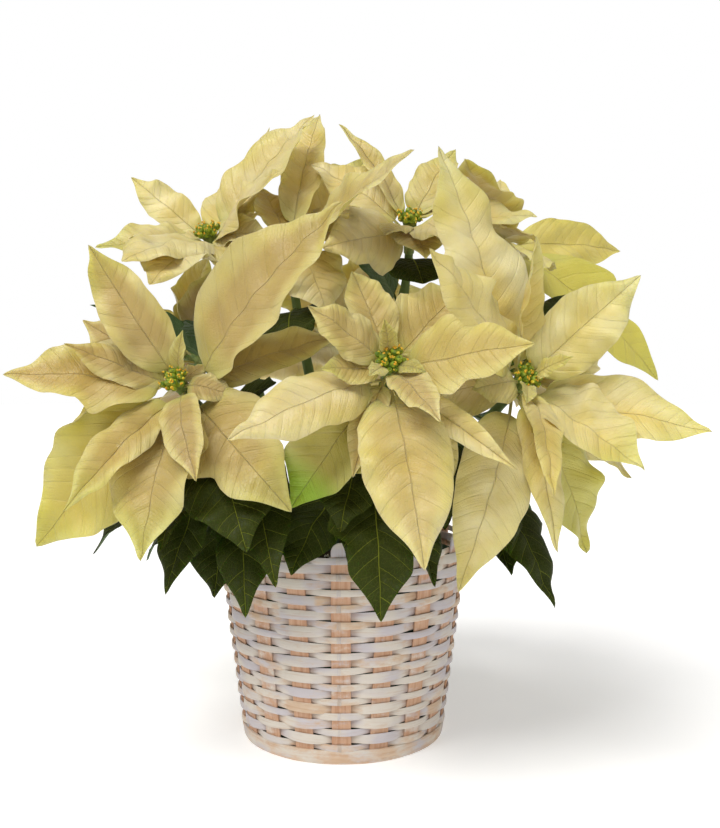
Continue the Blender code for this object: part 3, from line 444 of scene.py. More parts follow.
def ring_tube(points, radii, sides):
    """Points and triangles of a closed tube through the points."""
    points = np.asarray(points, float)
    tangent = np.gradient(points, axis=0)
    tangent /= np.linalg.norm(tangent, axis=1)[:, None]
    hint = np.array([0.3, 1.0, 0.1])
    first = np.cross(tangent, hint)
    first /= np.linalg.norm(first, axis=1)[:, None]
    second = np.cross(tangent, first)
    flat = []
    for p, a, b, radius in zip(points, first, second, radii):
        for k in range(sides):
            angle = 2 * math.pi * k / sides
            flat.append(p + radius * (math.cos(angle) * a + math.sin(angle) * b))
    faces = []
    for i in range(len(points) - 1):
        for k in range(sides):
            a, b = i * sides + k, i * sides + (k + 1) % sides
            faces.append((a, b, b + sides))
            faces.append((a, b + sides, a + sides))
    last = (len(points) - 1) * sides
    for k in range(1, sides - 1):
        faces.append((0, k + 1, k))
        faces.append((last, last + k, last + k + 1))
    return np.array(flat), faces


class Space:
    """What has been laid so far, to test the next blade against."""

    def __init__(self):
        self.things = []

    def add(self, node, points, faces, outer=None):
        """Add a body, and the outer part of it that others of its node keep clear of."""
        tree = BVHTree.FromPolygons(points.tolist(), faces)
        outer_tree = BVHTree.FromPolygons(outer[0].tolist(), outer[1]) if outer else None
        self.things.append((node, points.min(0), points.max(0), tree, outer_tree))

    def add_blade(self, blade):
        """Add a blade that stays where it is."""
        points, faces = coarse_blade(blade, SAFE / 2)
        outer = coarse_blade(blade, SAFE / 2, 2)
        self.add(blade.node, points, faces, outer)

    def cost(self, blade, room):
        """0 where the blade lies clear, and more the more it cuts through."""
        points, faces = coarse_blade(blade, room)
        low, high = points.min(0), points.max(0)
        tree = BVHTree.FromPolygons(points.tolist(), faces)
        outer_points, outer_faces = coarse_blade(blade, room, 2)
        outer_tree = BVHTree.FromPolygons(outer_points.tolist(), outer_faces)
        total = 0
        for node, other_low, other_high, other, other_outer in self.things:
            if (low > other_high).any() or (other_low > high).any():
                continue
            if node != blade.node:
                total += CROSSES_ANOTHER * len(tree.overlap(other))
            elif other_outer is not None:
                total += len(outer_tree.overlap(other_outer))
        return total


def sight_tries(blade):
    """Small changes that keep the blade's picture from the front nearly the same."""
    sight = unit(blade.tip - np.array(EYE_POINT))
    steps = (0, 7, -7, 14, -14, 21, -21, 28, -28)
    for step in steps:
        yield blade.changed(tip=blade.tip + step * MM * sight)
    for arch in (0.05, -0.05, 0.10, -0.10):
        for step in steps[:7]:
            yield blade.changed(tip=blade.tip + step * MM * sight, arch=blade.arch + arch)
    for roll in (14, -14, 28, -28):
        for step in steps[:7]:
            yield blade.changed(tip=blade.tip + step * MM * sight, roll=blade.roll + roll)
    for scale in (0.9, 0.8, 0.68):
        for roll in (0, 16, -16):
            for step in steps:
                reach = (blade.tip - blade.root) * scale
                tip = blade.root + reach + step * MM * sight
                yield blade.changed(tip=tip, width=blade.width * scale, roll=blade.roll + roll)


def free_tries(blade):
    """Swings and lifts of a blade that the front view doesn't fix."""
    reach = blade.tip - blade.root
    across = unit(np.cross(reach, blade.facing))
    for scale in (1.0, 0.9, 0.8, 0.68):
        for lift in (0, 8, -8, 16, -16, 26, -26):
            for swing in (0, 9, -9, 18, -18):
                way = turned(turned(reach, across, lift), unit(blade.facing), swing)
                yield blade.changed(tip=blade.root + way * scale, width=blade.width * scale)


def lay(space, blade):
    """The blade, moved as little as it takes to lie clear, and added to the space.

    None stands for a blade of the rule that finds no clear place.
    """
    best, least = None, None
    for room in (SAFE, SAFE / 3):
        for trial in (sight_tries if blade.seen else free_tries)(blade):
            cost = space.cost(trial, room)
            if least is None or cost < least:
                best, least = trial, cost
            if cost == 0:
                break
        if least == 0:
            break
    if least >= CROSSES_ANOTHER and not blade.seen:
        return None
    space.add_blade(best)
    return best


def bloom_axes(name):
    """The middle of the flower cups, the facing direction and two directions across."""
    centre, facing = BLOOMS[name]
    axis = unit(np.array(facing))
    right = unit(np.cross(axis, (0.0, 0.0, 1.0)))
    return np.array(centre) * MM, axis, right, np.cross(right, axis)


def bract(name, offset, width, depth, distance, **shape):
    """A bract whose tip lies right, front and up of the cups, and whose root lies in the hub."""
    centre, axis, _, _ = bloom_axes(name)
    right, front, up = offset
    tip = centre + np.array((right, -front, up)) * MM
    away = tip - centre
    away = unit(away - (away @ axis) * axis)
    root = centre - depth * axis + distance * away
    return Blade("bracts_" + name, root, tip, width * MM, axis, **shape)


def seen_bracts(name):
    """The bracts of one bloom that the front view shows."""
    lengths = sorted(np.linalg.norm(row[:3]) for row in BRACTS[name])
    blades = []
    for row, (*offset, width, arch, roll, fold, toothed) in enumerate(BRACTS[name]):
        depth = HUB_TOP + HIGHEST_ROOT + ROOT_STEP * lengths.index(np.linalg.norm(offset))
        shape = dict(arch=arch / 100, roll=roll, fold=fold, toothed=bool(toothed), row=row)
        blades.append(bract(name, offset, width, depth, ROOT_DISTANCE, **shape))
    return blades


def rule_bracts(name, have):
    """Bracts that fill a bloom's whorl where the given ones leave it open."""
    centre, axis, right, up = bloom_axes(name)
    large, small, length, width = WHORLS[name]
    taken = [math.atan2((b.tip - centre) @ up, (b.tip - centre) @ right) for b in have]
    blades = []
    for count, (tilt, size, room, turn, step) in zip((large, small), WHORL_RINGS):
        for k in range(count):
            angle = 2 * math.pi * (k + turn) / count
            gaps = [abs(math.remainder(angle - other, 2 * math.pi)) for other in taken]
            if gaps and min(gaps) < math.radians(room):
                continue
            reach = size * length * MM * (1 + 0.10 * math.sin(5.1 * k + 1.7 * turn))
            lean = math.radians(tilt + 9 * math.sin(3.7 * k + 2.0))
            away = math.cos(angle) * right + math.sin(angle) * up
            way = math.cos(lean) * axis + math.sin(lean) * away
            droop = np.array((0.0, 0.0, -WHORL_DROOP * reach * size))
            depth = HUB_TOP + HIGHEST_ROOT + ROOT_STEP * (k + step)
            root = centre - depth * axis + ROOT_DISTANCE * away
            shape = dict(arch=0.10, fold=8.0 + 3 * math.sin(2.3 * k), seen=False)
            shape["toothed"] = size == 1.0 and k % 3 == 1
            tip = centre + reach * way + droop
            blades.append(Blade("bracts_" + name, root, tip, size * width * MM, axis, **shape))
    return blades


def shoot_route(plant, bloom):
    """The Bezier points of one shoot, from its fork to just under its bloom's hub."""
    x, y = PLANTS[plant][0]
    centre, axis, _, _ = bloom_axes(bloom)
    fork = np.array((x * MM, y * MM, FORK_HEIGHT))
    end = centre - (HUB_TOP + HUB_LENGTH + GAP) * axis
    reach = end - fork
    rise = SHOOT_RISE * np.linalg.norm(reach)
    start = fork + (SHOOT_LEAN * reach[0], SHOOT_LEAN * reach[1], rise)
    return fork, start, end - SHOOT_TAIL * axis, end


def shoot_points(plant, bloom, count=7):
    """Points along a shoot. The last stretch is short, so that its end cap is square."""
    t = np.append(np.linspace(0, 0.96, count - 1), 1.0)
    return bezier(shoot_route(plant, bloom), t)


def shoot_at(plant, bloom, height):
    """The point of a shoot nearest the height."""
    points = shoot_points(plant, bloom, SHOOT_SAMPLES)
    return points[np.argmin(abs(points[:, 2] - height * MM))]


def leaf_blade(plant, bloom, tip, height, width, arch, fold, toothed, seen=True):
    """A green leaf whose stalk leaves the bloom's shoot at the height."""
    root = shoot_at(plant, bloom, height)
    tip = np.array(tip) * MM
    out = unit(np.array((tip[0], tip[1], 0.0)))
    facing = unit(LEAF_TILT * out + np.array((0.0, 0.0, 1.0)))
    shape = dict(arch=arch / 100, fold=fold, toothed=bool(toothed), green=True, seen=seen)
    return Blade(plant, root, tip, width * MM, facing, petiole=LEAF_PETIOLE, **shape)


def ring_leaves():
    """The leaves that are laid by rule, each on the shoot nearest its tip."""
    blades = []
    for count, first, distance, tip_height, height, width, arch in LEAF_RINGS:
        for k in range(count):
            angle = math.radians(first + 360 * k / count)
            reach = distance * (1 + 0.08 * math.sin(4.3 * k + distance))
            tip = (
                reach * math.cos(angle),
                reach * math.sin(angle),
                tip_height + 9 * math.sin(2.9 * k + height),
            )
            nearest = None
            for plant, (_, blooms) in PLANTS.items():
                for bloom in blooms:
                    gap = np.linalg.norm(shoot_at(plant, bloom, height) - np.array(tip) * MM)
                    if nearest is None or gap < nearest[0]:
                        nearest = (gap, plant, bloom)
            shape = (width, arch, 8, k % 2)
            blades.append(leaf_blade(nearest[1], nearest[2], tip, height, *shape, seen=False))
    return blades


def outer_radius(z):
    """The basket's outermost radius at a height."""
    rise = (BASKET_RIM_RADIUS - BASKET_BASE_RADIUS) / STAKE_END_TOP
    return BASKET_BASE_RADIUS + rise * z


def plan():
    """Every blade in its place, and what stands around them."""
    space = Space()
    ends = [(0.0, 0.0, z) for z in (0.0, STAKE_END_TOP)]
    radii = [outer_radius(z) + SAFE for _, _, z in ends]
    space.add("basket", *ring_tube(ends, radii, ROUND_SIDES))
    for plant, ((x, y), blooms) in PLANTS.items():
        trunk = np.array([(x * MM, y * MM, z) for z in (SOIL_TOP, FORK_HEIGHT)])
        space.add(plant, *ring_tube(trunk, [TRUNK_RADIUS] * 2, 6))
        for bloom in blooms:
            points = shoot_points(plant, bloom)
            space.add(plant, *ring_tube(points, [SHOOT_RADIUS + SAFE] * len(points), 6))
    for name in BLOOMS:
        centre, axis, _, _ = bloom_axes(name)
        hub = np.array([centre - (HUB_TOP + HUB_LENGTH) * axis, centre - HUB_TOP * axis])
        space.add("bracts_" + name, *ring_tube(hub, [HUB_RADIUS + SAFE] * 2, 8))
        cups = np.array([centre + GAP * axis - HUB_TOP * axis, centre + CUPS_HEIGHT * axis])
        space.add("cups_" + name, *ring_tube(cups, [CUPS_RADIUS, 1.25 * CUPS_RADIUS], 8))
    given = {name: seen_bracts(name) for name in BLOOMS}
    seen = [blade for name in BLOOMS for blade in given[name]]
    leaves = [leaf_blade(*row) for row in LEAVES]
    fills = [blade for name in BLOOMS for blade in rule_bracts(name, given[name])]
    laid = [lay(space, blade) for blade in seen + leaves + fills + ring_leaves()]
    return [blade for blade in laid if blade is not None]


def weave_levels():
    """Each row of the weave: its lower and upper height, and whether it is narrow."""
    z = BASKET_ROWS_TOP
    rows = []
    for k in range(ROW_COUNT):
        narrow = k % 2 == 0
        height = NARROW_ROW if narrow else WIDE_ROW
        rows.append((z - height, z, narrow))
        z -= height
    return rows[::-1]


def pot_inside(z):
    """The pot's inner radius at a height."""
    low = FLOOR_THICKNESS + GAP + POT_WALL
    top = FLOOR_THICKNESS + GAP + POT_HEIGHT
    share = (z - low) / (top - low)
    base = POT_BASE_RADIUS - POT_WALL
    return base + share * (POT_RIM_RADIUS - 2 * POT_WALL - base)


# Looks

SEED = 20261  # the other numbers in a seed tell the draws of the pieces apart

# Fine blades
VEIN_PAIRS = 9
LARGE_GRID = (44, 18)  # rows past the stalk, and columns
SMALL_GRID = (26, 12)
LARGE_LENGTH = 0.055  # blades above this length have the large grid
FULL_LENGTH = 0.09  # blades below this length are quilted and wrinkled less
STALK_ROWS = 5
TIP_DRIP = 0.48  # how much narrower than the outline a blade is near its tip
TOOTH_SHIFT = 0.03  # how far along the blade a tooth may be moved
BRACT_WAVES = (0.07, 0.20)  # least and most wave of the edge, as a share of half the width
LEAF_WAVES = (0.05, 0.12)
CURL = (-0.14, 0.28)  # how far the edge curls back, as a share of half the width
QUILT_DEPTH = 0.00028
GROOVE_DEPTH = 0.0002  # the groove over the midrib
GROOVE_WIDTH = 0.0014
WRINKLES = 5
WRINKLE_DEPTH = (0.0002, 0.00065)
TINY_DEPTH = 0.0035  # where the roots of the small bracts beside the cups lie
TINY_DISTANCE = 0.0050
STEM_SIDES = 12

# Weave: the profiles are shares of half the thickness and of the height, and for a stake
# the share of half its width with how far its face stands back there
WEAVER_THICKNESS = 0.0013
STAKE_THICKNESS = 0.0014
SEGMENT_STEPS = 10
NARROW_WEAVER = (0.0043, 0.0003)  # the height, and how much higher it is in front
WIDE_WEAVER = (0.0060, 0.0008)
WEAVE_ROOM = 0.0001  # between a stake and the weaver behind it
STAKE_ROOM = 0.00005  # between a stake and the weaver in front of it
WANDER = 0.0003  # how far a weaver strays from its level
BULGE = 0.00035  # how far it stands out in front of a stake
STAKE_FOOT = 0.0015
STAKE_ROUNDING = 0.0062  # how far down a stake's rounded end reaches
WEAVER_PROFILE = [
    (0.62, -0.50), (0.92, -0.36), (1.00, 0.0), (0.92, 0.36), (0.62, 0.50),
    (-0.80, 0.46), (-1.0, 0.0), (-0.80, -0.46),
]
STAKE_PROFILE = [
    (-1.0, 0.00035), (-0.97, 0.00005), (-0.5, 0.0), (0.0, 0.0), (0.5, 0.0),
    (0.97, 0.00005), (1.0, 0.00035),
]
HOOP_STEPS = 288
NICKS = 9  # small cuts in the hoop's edge
NICK_DEPTH = 0.0003
NICK_WIDTH = 0.012  # in radians round the hoop
HOOP_WAVE = 0.00012
FIRST_WEAVER = 0.55  # weavers whose top is below this share of the hoop aren't made

# Pot and soil
POT_STEPS = 128
SOIL_GRID = (30, 96)  # rings and sides
SOIL_ROUGHNESS = 0.0006
GRAIN_COUNT = 260
GRAIN_REACH = 0.072
PERLITE_SHARE = 0.22

# Flower cups: rings of cups with their count, their distance from the middle, the turn of
# the first and the size. The cup's profile is in shares of its radius and height.
CUP_RINGS = ((1, 0.0, 0.0, 1.0), (6, 0.0044, 0.1, 1.0), (8, 0.0080, 0.4, 0.72))
CUP_RADIUS = 0.00235
CUP_HEIGHT = 0.0062
CUP_PROFILE = [
    (0, 0), (0.45, 0.02), (0.9, 0.30), (1.05, 0.58), (0.86, 0.84), (0.52, 0.97), (0.30, 0.93),
    (0, 0.86),
]
LOBE_RADIUS = 0.00055
GLAND_RADII = (0.0013, 0.0013, 0.0010)
BEAD_RADIUS = 0.00064
DISC_PROFILE = [
    (0, -0.0028), (0.0050, -0.0026), (0.0066, -0.0008), (0.0060, 0.0006), (0, 0.0012),
]

# Colours: two shades of each, and for leaves that of the veins too
CREAMS = ((0.690, 0.520, 0.145), (0.860, 0.730, 0.385))
LEAF_TOP = ((0.018, 0.026, 0.003), (0.038, 0.048, 0.004), (0.260, 0.290, 0.030))
LEAF_UNDER = ((0.070, 0.130, 0.045), (0.100, 0.170, 0.060), (0.200, 0.290, 0.110))
STAKE_WOODS = ((0.500, 0.260, 0.150), (0.720, 0.500, 0.350))
WEAVER_WOODS = ((0.560, 0.370, 0.240), (0.760, 0.610, 0.450))
HOOP_WOODS = ((0.560, 0.360, 0.230), (0.780, 0.620, 0.460))
WASHES = ((0.700, 0.640, 0.560), (0.590, 0.550, 0.570))
# the colour of painted shade where a weaver runs behind a stake
WOOD_IN_SHADE = (0.360, 0.190, 0.110)
GRAIN_STRETCH = 0.045  # how much slower the grain changes along the strip
RIB_TAPER = 0.7  # how much narrower the midrib is at the tip
NET_SCALE = 420.0  # meshes of the net of small veins in a metre
NET_WARP = 0.0016  # how far their lines stray
CORK_HEIGHTS = (0.135, 0.215)  # all brown below the first, all green above the second

# Light and camera
AMBIENT = 0.26  # how bright the white all round is to the part
FLOOR_GLOW = 0.32
FLOOR_RADIUS = 6.0
FLOOR_SIDES = 96
# Suns: where each stands, how many degrees wide it is, its strength and its colour
LIGHTS = [
    ("key", (-0.48, -0.50, 1.10), 40.0, 2.75, (1.0, 0.985, 0.960)),
    ("fill", (0.70, -0.55, 0.60), 70.0, 0.40, (1.0, 0.990, 0.970)),
]
FOCAL_PIXELS = 989.0
PHOTO_HEIGHT = 828.0
CAMERA_PITCH = 0.05  # how far it looks down, in radians
CAMERA_PLACE = (0.0119, -0.700, 0.2593)

# Bracts that are greener towards their tips, or greener or yellower all over: the bloom,
# the row of its table, the green of the tip, the green all over and the yellow. The yellow
# of the top right bloom's rows is painted light: the glow of light shining through them from behind.
TINTS = {
    ("front", 10): (1.0, 0.25, 0.3),
    ("front", 1): (0.0, 0.0, 0.0),
    ("left", 5): (0.25, 0.15, 0.55),
    ("right", 7): (0.3, 0.30, 0.6),
    # painted light: the glow of light from behind, laid in as yellow
    ("top_right", 0): (0.3, 0.25, 0.9),
    ("top_right", 1): (0.1, 0.10, 0.7),
}

# How tan the bracts of a bloom are, from 0 for the palest cream. At 1 half of them are
# tan in full, and above 1 most are. The levels are partly the bracts' own tan and partly
# painted shade: the left bloom is painted darker and the right and top ones paler, as the
# light falls on them.
BLOOM_TAN_AND_SHADE = {
    "left": 1.25,
    "front": 0.66,
    "right": 0.10,
    "top_left": 0.30,
    "top_front": 0.45,
    "top_back": 0.35,
    "top_right": 0.05,
    "side_left": 0.60,
    "side_right": 0.30,
    "back": 0.50,
}

# Small bracts beside the flower cups that are too small for the plan: the bloom, the tip
# from the middle of the cups to the right, to the front and up, and the width
TINY_BRACTS = [
    ("front", (20, 17, -7), 12),
    ("front", (-13, 17, -9), 12),
    ("front", (-4, 9, 24), 12),
    ("right", (24, 22, 12), 14),
    ("right", (-5, 27, -16), 12),
    ("left", (6, 4, 31), 13),
]


class Paint:
    """A procedural material, with short ways to add and link its nodes."""

    def __init__(self, name, **constants):
        self.material = bpy.data.materials.new(name)
        self.material.use_nodes = True
        self.tree = self.material.node_tree
        self.shader = self.tree.nodes["Principled BSDF"]
        for socket, value in constants.items():
            self.shader.inputs[socket.replace("_", " ")].default_value = value

    def put(self, socket, value):
        """Give a socket a number, a colour or another node's output."""
        if isinstance(value, bpy.types.NodeSocket):
            self.tree.links.new(value, socket)
        elif isinstance(value, tuple) and len(value) == 3 and socket.type == "RGBA":
            socket.default_value = (*value, 1.0)
        else:
            socket.default_value = value

    def node(self, kind, output=0, inputs=(), **settings):
        """Add a node and return one of its outputs."""
        made = self.tree.nodes.new("ShaderNode" + kind)
        for name, value in settings.items():
            setattr(made, name, value)
        for name, value in dict(inputs).items():
            self.put(made.inputs[name], value)
        return made.outputs[output]

    def calc(self, operation, *values):
        """A Math node."""
        return self.node("Math", inputs=enumerate(values), operation=operation)

    def times(self, a, b):
        """a times b."""
        return self.calc("MULTIPLY", a, b)

    def line(self, value, slope, start):
        """The start plus the slope times the value."""
        return self.calc("MULTIPLY_ADD", value, slope, start)

    def split(self, vector):
        """The three parts of a vector."""
        made = self.tree.nodes.new("ShaderNodeSeparateXYZ")
        self.put(made.inputs[0], vector)
        return tuple(made.outputs)

    def attribute(self, name):
        """A vector attribute of the mesh, and its three parts."""
        vector = self.node("Attribute", "Vector", attribute_name=name)
        return (vector, *self.split(vector))

    def place(self):
        """The place in the piece's own axes."""
        return self.node("TexCoord", "Object")

    def join(self, x, y, z):
        """A vector from three numbers."""
        return self.node("CombineXYZ", inputs={0: x, 1: y, 2: z})

    def step(self, value, low, high):
        """0 below low, 1 above high, and smooth between."""
        inputs = {"Value": value, "From Min": low, "From Max": high}
        return self.node("MapRange", inputs=inputs, interpolation_type="SMOOTHSTEP")

    def fade(self, value, low, high):
        """1 below low, 0 above high, and smooth between."""
        return self.calc("SUBTRACT", 1.0, self.step(value, low, high))

    def noise(self, vector, scale, detail=3.0, roughness=0.5):
        """Noise from 0 to 1."""
        inputs = {"Vector": vector, "Scale": scale, "Detail": detail, "Roughness": roughness}
        return self.node("TexNoise", inputs=inputs)

    def mix(self, factor, a, b):
        """Colour a turned into b by the factor."""
        made = self.tree.nodes.new("ShaderNodeMix")
        made.data_type = "RGBA"
        self.put(made.inputs[0], factor)
        self.put(made.inputs[6], a)
        self.put(made.inputs[7], b)
        return made.outputs[2]

    def glaze(self, colour, mask, strength, over):
        """The colour with another laid over it where the mask is."""
        return self.mix(self.times(mask, strength), colour, over)

    def bump(self, distance, *parts):
        """Bump the surface by the sum of the parts, each a height and its share."""
        height = 0.0
        for part, share in parts:
            height = self.line(part, share, height)
        inputs = {"Height": height, "Distance": distance}
        self.put(self.shader.inputs["Normal"], self.node("Bump", inputs=inputs))

    def done(self, colour, roughness):
        """Link the colour and the roughness, and return the material."""
        self.put(self.shader.inputs["Base Color"], colour)
        self.put(self.shader.inputs["Roughness"], roughness)
        return self.material


def vein_masks(paint, rib_width, vein_share):
    """Where a blade's side veins, midrib, quilting and fine net of veins lie."""
    _, across, phase, u = paint.attribute("vein")
    shifted = paint.line(paint.calc("GREATER_THAN", across, 0.0), 0.5, phase)
    away = paint.calc("ABSOLUTE", paint.calc("SUBTRACT", paint.calc("FRACT", shifted), 0.5))
    veins = paint.step(away, 0.5 - vein_share, 0.5)
    puff = paint.calc("COSINE", paint.times(away, math.pi))
    taper = paint.line(u, -RIB_TAPER * rib_width, rib_width)
    inputs = {
        "Value": paint.calc("ABSOLUTE", across),
        "From Min": paint.times(taper, 0.3),
        "From Max": taper,
    }
    rib = paint.calc("SUBTRACT", 1.0, paint.node("MapRange", inputs=inputs))
    place, x, y, _ = paint.attribute("spot")
    shift = paint.times(paint.noise(place, 240.0, 2.0), NET_WARP)
    net_place = paint.join(paint.calc("ADD", x, shift), paint.calc("ADD", y, shift), 0.0)
    inputs = {"Vector": net_place, "Scale": NET_SCALE}
    net = paint.node("TexVoronoi", inputs=inputs, feature="DISTANCE_TO_EDGE")
    return veins, rib, puff, paint.fade(net, 0.0, 0.10), place, u


def bract_paint(name, under=False):
    """Cream bracts: quilted between fine veins, greener and yellower by their tint, with painted glow
    in the yellow and painted shade in the tan.
    """
    paint = Paint(
        name,
        Subsurface_Weight=0.30,
        Subsurface_Radius=(0.0050, 0.0036, 0.0008),
        Subsurface_Scale=1.0,
        Sheen_Weight=0.14,
        Specular_IOR_Level=0.55,
    )
    veins, rib, puff, net, place, u = vein_masks(paint, 0.0006, 0.05)
    _, green_tip, green, yellow_and_glow = paint.attribute("tint")
    _, tan_and_shade, edge, _ = paint.attribute("tone")
    _, across, phase, _ = paint.attribute("vein")
    edge = paint.step(paint.line(u, 0.25, edge), 0.55, 1.05)
    tan_and_shade = paint.times(tan_and_shade, paint.line(edge, -0.60, 1.0))
    cloud = paint.noise(place, 26.0, 3.0)
    patch = paint.step(paint.noise(place, 90.0, 3.0), 0.5, 0.8)
    side = paint.calc("ABSOLUTE", across)
    silk_place = paint.join(paint.times(phase, 9.0), paint.times(side, 60.0), tan_and_shade)
    silk = paint.noise(silk_place, 1.0, 3.0, 0.6)
    cream = paint.mix(paint.step(cloud, 0.30, 0.70), *CREAMS)
    # tan glaze: partly the bracts' own tan, partly painted shade set per bloom
    cream = paint.glaze(cream, tan_and_shade, 0.90, (0.400, 0.260, 0.080))
    cream = paint.glaze(cream, edge, 0.24, (0.740, 0.630, 0.180))
    cream = paint.glaze(cream, patch, 0.22, (0.620, 0.520, 0.150))
    # the yellow tint, which on the top right bracts is painted glow of light from behind
    cream = paint.mix(yellow_and_glow, cream, (0.640, 0.490, 0.085))
    tip = paint.times(paint.step(u, 0.52, 0.86), green_tip)
    cream = paint.mix(paint.calc("MAXIMUM", tip, green), cream, (0.290, 0.470, 0.018))
    cream = paint.glaze(cream, paint.fade(u, 0.02, 0.22), 0.55, (0.520, 0.520, 0.120))
    dark = paint.mix(0.5, cream, (0.360, 0.250, 0.060))
    colour = paint.glaze(cream, veins, 0.30 if under else 0.19, dark)
    colour = paint.glaze(colour, net, 0.05, dark)
    rib_colour = (0.640, 0.540, 0.230) if under else (0.500, 0.370, 0.150)
    colour = paint.glaze(colour, rib, 0.26, rib_colour)
    sign = 1.0 if under else -1.0
    veined = ((puff, -0.30 * sign), (veins, 0.16 * sign), (rib, 0.45 * sign), (net, 0.08 * sign))
    paint.bump(0.0011, *veined, (silk, 0.55))
    return paint.done(colour, paint.line(cloud, 0.20, 0.32))


def leaf_paint(name, under=False):
    """Dark green leaves with pale veins."""
    paint = Paint(
        name,
        Subsurface_Weight=0.05,
        Subsurface_Radius=(0.0010, 0.0022, 0.0005),
        Subsurface_Scale=1.0,
        Specular_IOR_Level=0.13,
    )
    veins, rib, puff, net, place, u = vein_masks(paint, 0.0008, 0.030)
    cloud = paint.noise(place, 45.0, 3.0)
    _, tone, _, _ = paint.attribute("tone")
    low, high, pale = LEAF_UNDER if under else LEAF_TOP
    green = paint.glaze(paint.mix(cloud, low, high), tone, 0.5, (0.045, 0.062, 0.006))
    green = paint.mix(paint.fade(u, 0.0, 0.02), green, (0.100, 0.130, 0.040))
    colour = paint.glaze(green, veins, 0.60, pale)
    colour = paint.glaze(colour, net, 0.07, pale)
    colour = paint.glaze(colour, rib, 0.85, pale)
    sign = 1.0 if under else -1.0
    veined = ((puff, -0.5 * sign), (veins, 0.3 * sign), (rib, 0.9 * sign), (net, 0.25 * sign))
    paint.bump(0.0007, *veined, (paint.noise(place, 600.0, 2.0), 0.12))
    return paint.done(colour, paint.line(cloud, 0.18, 0.42))


def stem_paint():
    """Green stems that turn brown and corky towards the soil."""
    paint = Paint("stem_skin", Specular_IOR_Level=0.35)
    x, y, z = paint.split(paint.place())
    streak = paint.noise(paint.join(x, y, paint.times(z, 0.15)), 900.0, 3.0)
    spots = paint.noise(paint.place(), 260.0, 3.0)
    brown = paint.times(paint.fade(z, *CORK_HEIGHTS), paint.step(spots, 0.30, 0.55))
    green = paint.mix(streak, (0.085, 0.140, 0.035), (0.160, 0.220, 0.060))
    paint.bump(0.0004, (streak, 1.0), (spots, 0.5))
    return paint.done(paint.mix(brown, green, (0.130, 0.085, 0.045)), paint.line(streak, 0.2, 0.45))


def cup_paint(name, low, high, rough):
    """Flower cups and what stands on them, in two shades."""
    paint = Paint(name, Specular_IOR_Level=0.45, Subsurface_Weight=0.10)
    cloud = paint.noise(paint.place(), 420.0, 3.0)
    paint.bump(0.0002, (paint.noise(paint.place(), 1500.0, 2.0), 1.0))
    colour = paint.mix(paint.step(cloud, 0.35, 0.65), low, high)
    return paint.done(colour, paint.line(cloud, 0.1, rough))


def wood_paint(name, woods, wash_share, along):
    """Chip wood under a thin worn whitewash, with its grain along one way of the strip."""
    paint = Paint(name, Specular_IOR_Level=0.25)
    _, run, height, seed = paint.attribute("spot")
    _, tone, ends, shade = paint.attribute("tone")
    shares = (GRAIN_STRETCH, 1.0) if along else (1.0, GRAIN_STRETCH)
    stretched = paint.join(
        paint.times(run, shares[0]), paint.times(height, shares[1]), paint.times(seed, 0.37)
    )
    grain = paint.noise(stretched, 1500.0, 4.0, 0.65)
    bands = paint.step(paint.noise(stretched, 420.0, 2.0), 0.42, 0.66)
    lines = paint.step(paint.noise(stretched, 900.0, 3.0, 0.6), 0.52, 0.68)
    blotch_place = paint.join(run, paint.times(height, 2.2), paint.times(seed, 0.71))
    blotch = paint.noise(blotch_place, 62.0, 4.0, 0.62)
    wood = paint.glaze(paint.mix(grain, *woods), bands, 0.65, woods[0])
    cover = paint.calc("ADD", paint.line(grain, -0.28, blotch), wash_share)
    cover = paint.calc("ADD", paint.line(tone, 0.34, cover), ends)
    cover = paint.step(cover, 0.28, 0.56)
    wash = paint.mix(paint.step(paint.noise(blotch_place, 25.0, 2.0), 0.42, 0.62), *WASHES)
    colour = paint.glaze(paint.mix(cover, wood, wash), lines, 0.30, woods[0])
    colour = paint.mix(shade, colour, WOOD_IN_SHADE)
    paint.bump(0.0003, (grain, 1.0), (cover, 0.4))
    return paint.done(colour, paint.line(cover, -0.08, 0.80))


def speckled_paint(name, low, high, rough, scale, depth):
    """A plain rough surface in two shades, by its place."""
    paint = Paint(name, Specular_IOR_Level=0.35)
    cloud = paint.noise(paint.place(), scale, 5.0, 0.6)
    paint.bump(depth, (paint.noise(paint.place(), 4 * scale, 4.0, 0.6), 1.0))
    return paint.done(paint.mix(cloud, low, high), rough)


class Mesher:
    """Gathers points, faces and attributes of one piece, and makes its object."""

    def __init__(self):
        self.points = []
        self.faces = []
        self.slots = []
        self.fields = {"spot": [], "vein": [], "tint": [], "tone": []}

    def add(self, points, faces, slot=0, **fields):
        """Add points and their faces. Fields not given are 0."""
        first = len(self.points)
        self.points.extend(np.asarray(points).tolist())
        self.faces.extend(tuple(first + i for i in face) for face in faces)
        self.slots.extend([slot] * len(faces) if isinstance(slot, int) else slot)
        for name, store in self.fields.items():
            values = fields.get(name, (0.0, 0.0, 0.0))
            store.extend(np.broadcast_to(values, (len(points), 3)).tolist())

    def piece(self, name, materials, nodes=(), sharp=60):
        """Make the object, let it ride, and let it stand for the nodes."""
        mesh = bpy.data.meshes.new(name)
        mesh.from_pydata(self.points, [], self.faces)
        mesh.polygons.foreach_set("material_index", self.slots)
        for field, values in self.fields.items():
            attribute = mesh.attributes.new(field, "FLOAT_VECTOR", "POINT")
            attribute.data.foreach_set("vector", np.array(values, np.float32).ravel())
        shape = bmesh.new()
        shape.from_mesh(mesh)
        bmesh.ops.recalc_face_normals(shape, faces=shape.faces)
        shape.to_mesh(mesh)
        shape.free()
        mesh.shade_smooth()
        mesh.set_sharp_from_angle(angle=math.radians(sharp))
        mesh.update()
        made = placed(name, mesh)
        for material in materials:
            mesh.materials.append(material)
        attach(made, "root")
        if nodes:
            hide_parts(*nodes)


def placed(name, data):
    """A new object in the scene."""
    made = bpy.data.objects.new(name, data)
    bpy.context.scene.collection.objects.link(made)
    return made


def smooth(value, low, high):
    """0 below low, 1 above high, and smooth between."""
    x = np.clip((value - low) / (high - low), 0, 1)
    return x * x * (3 - 2 * x)


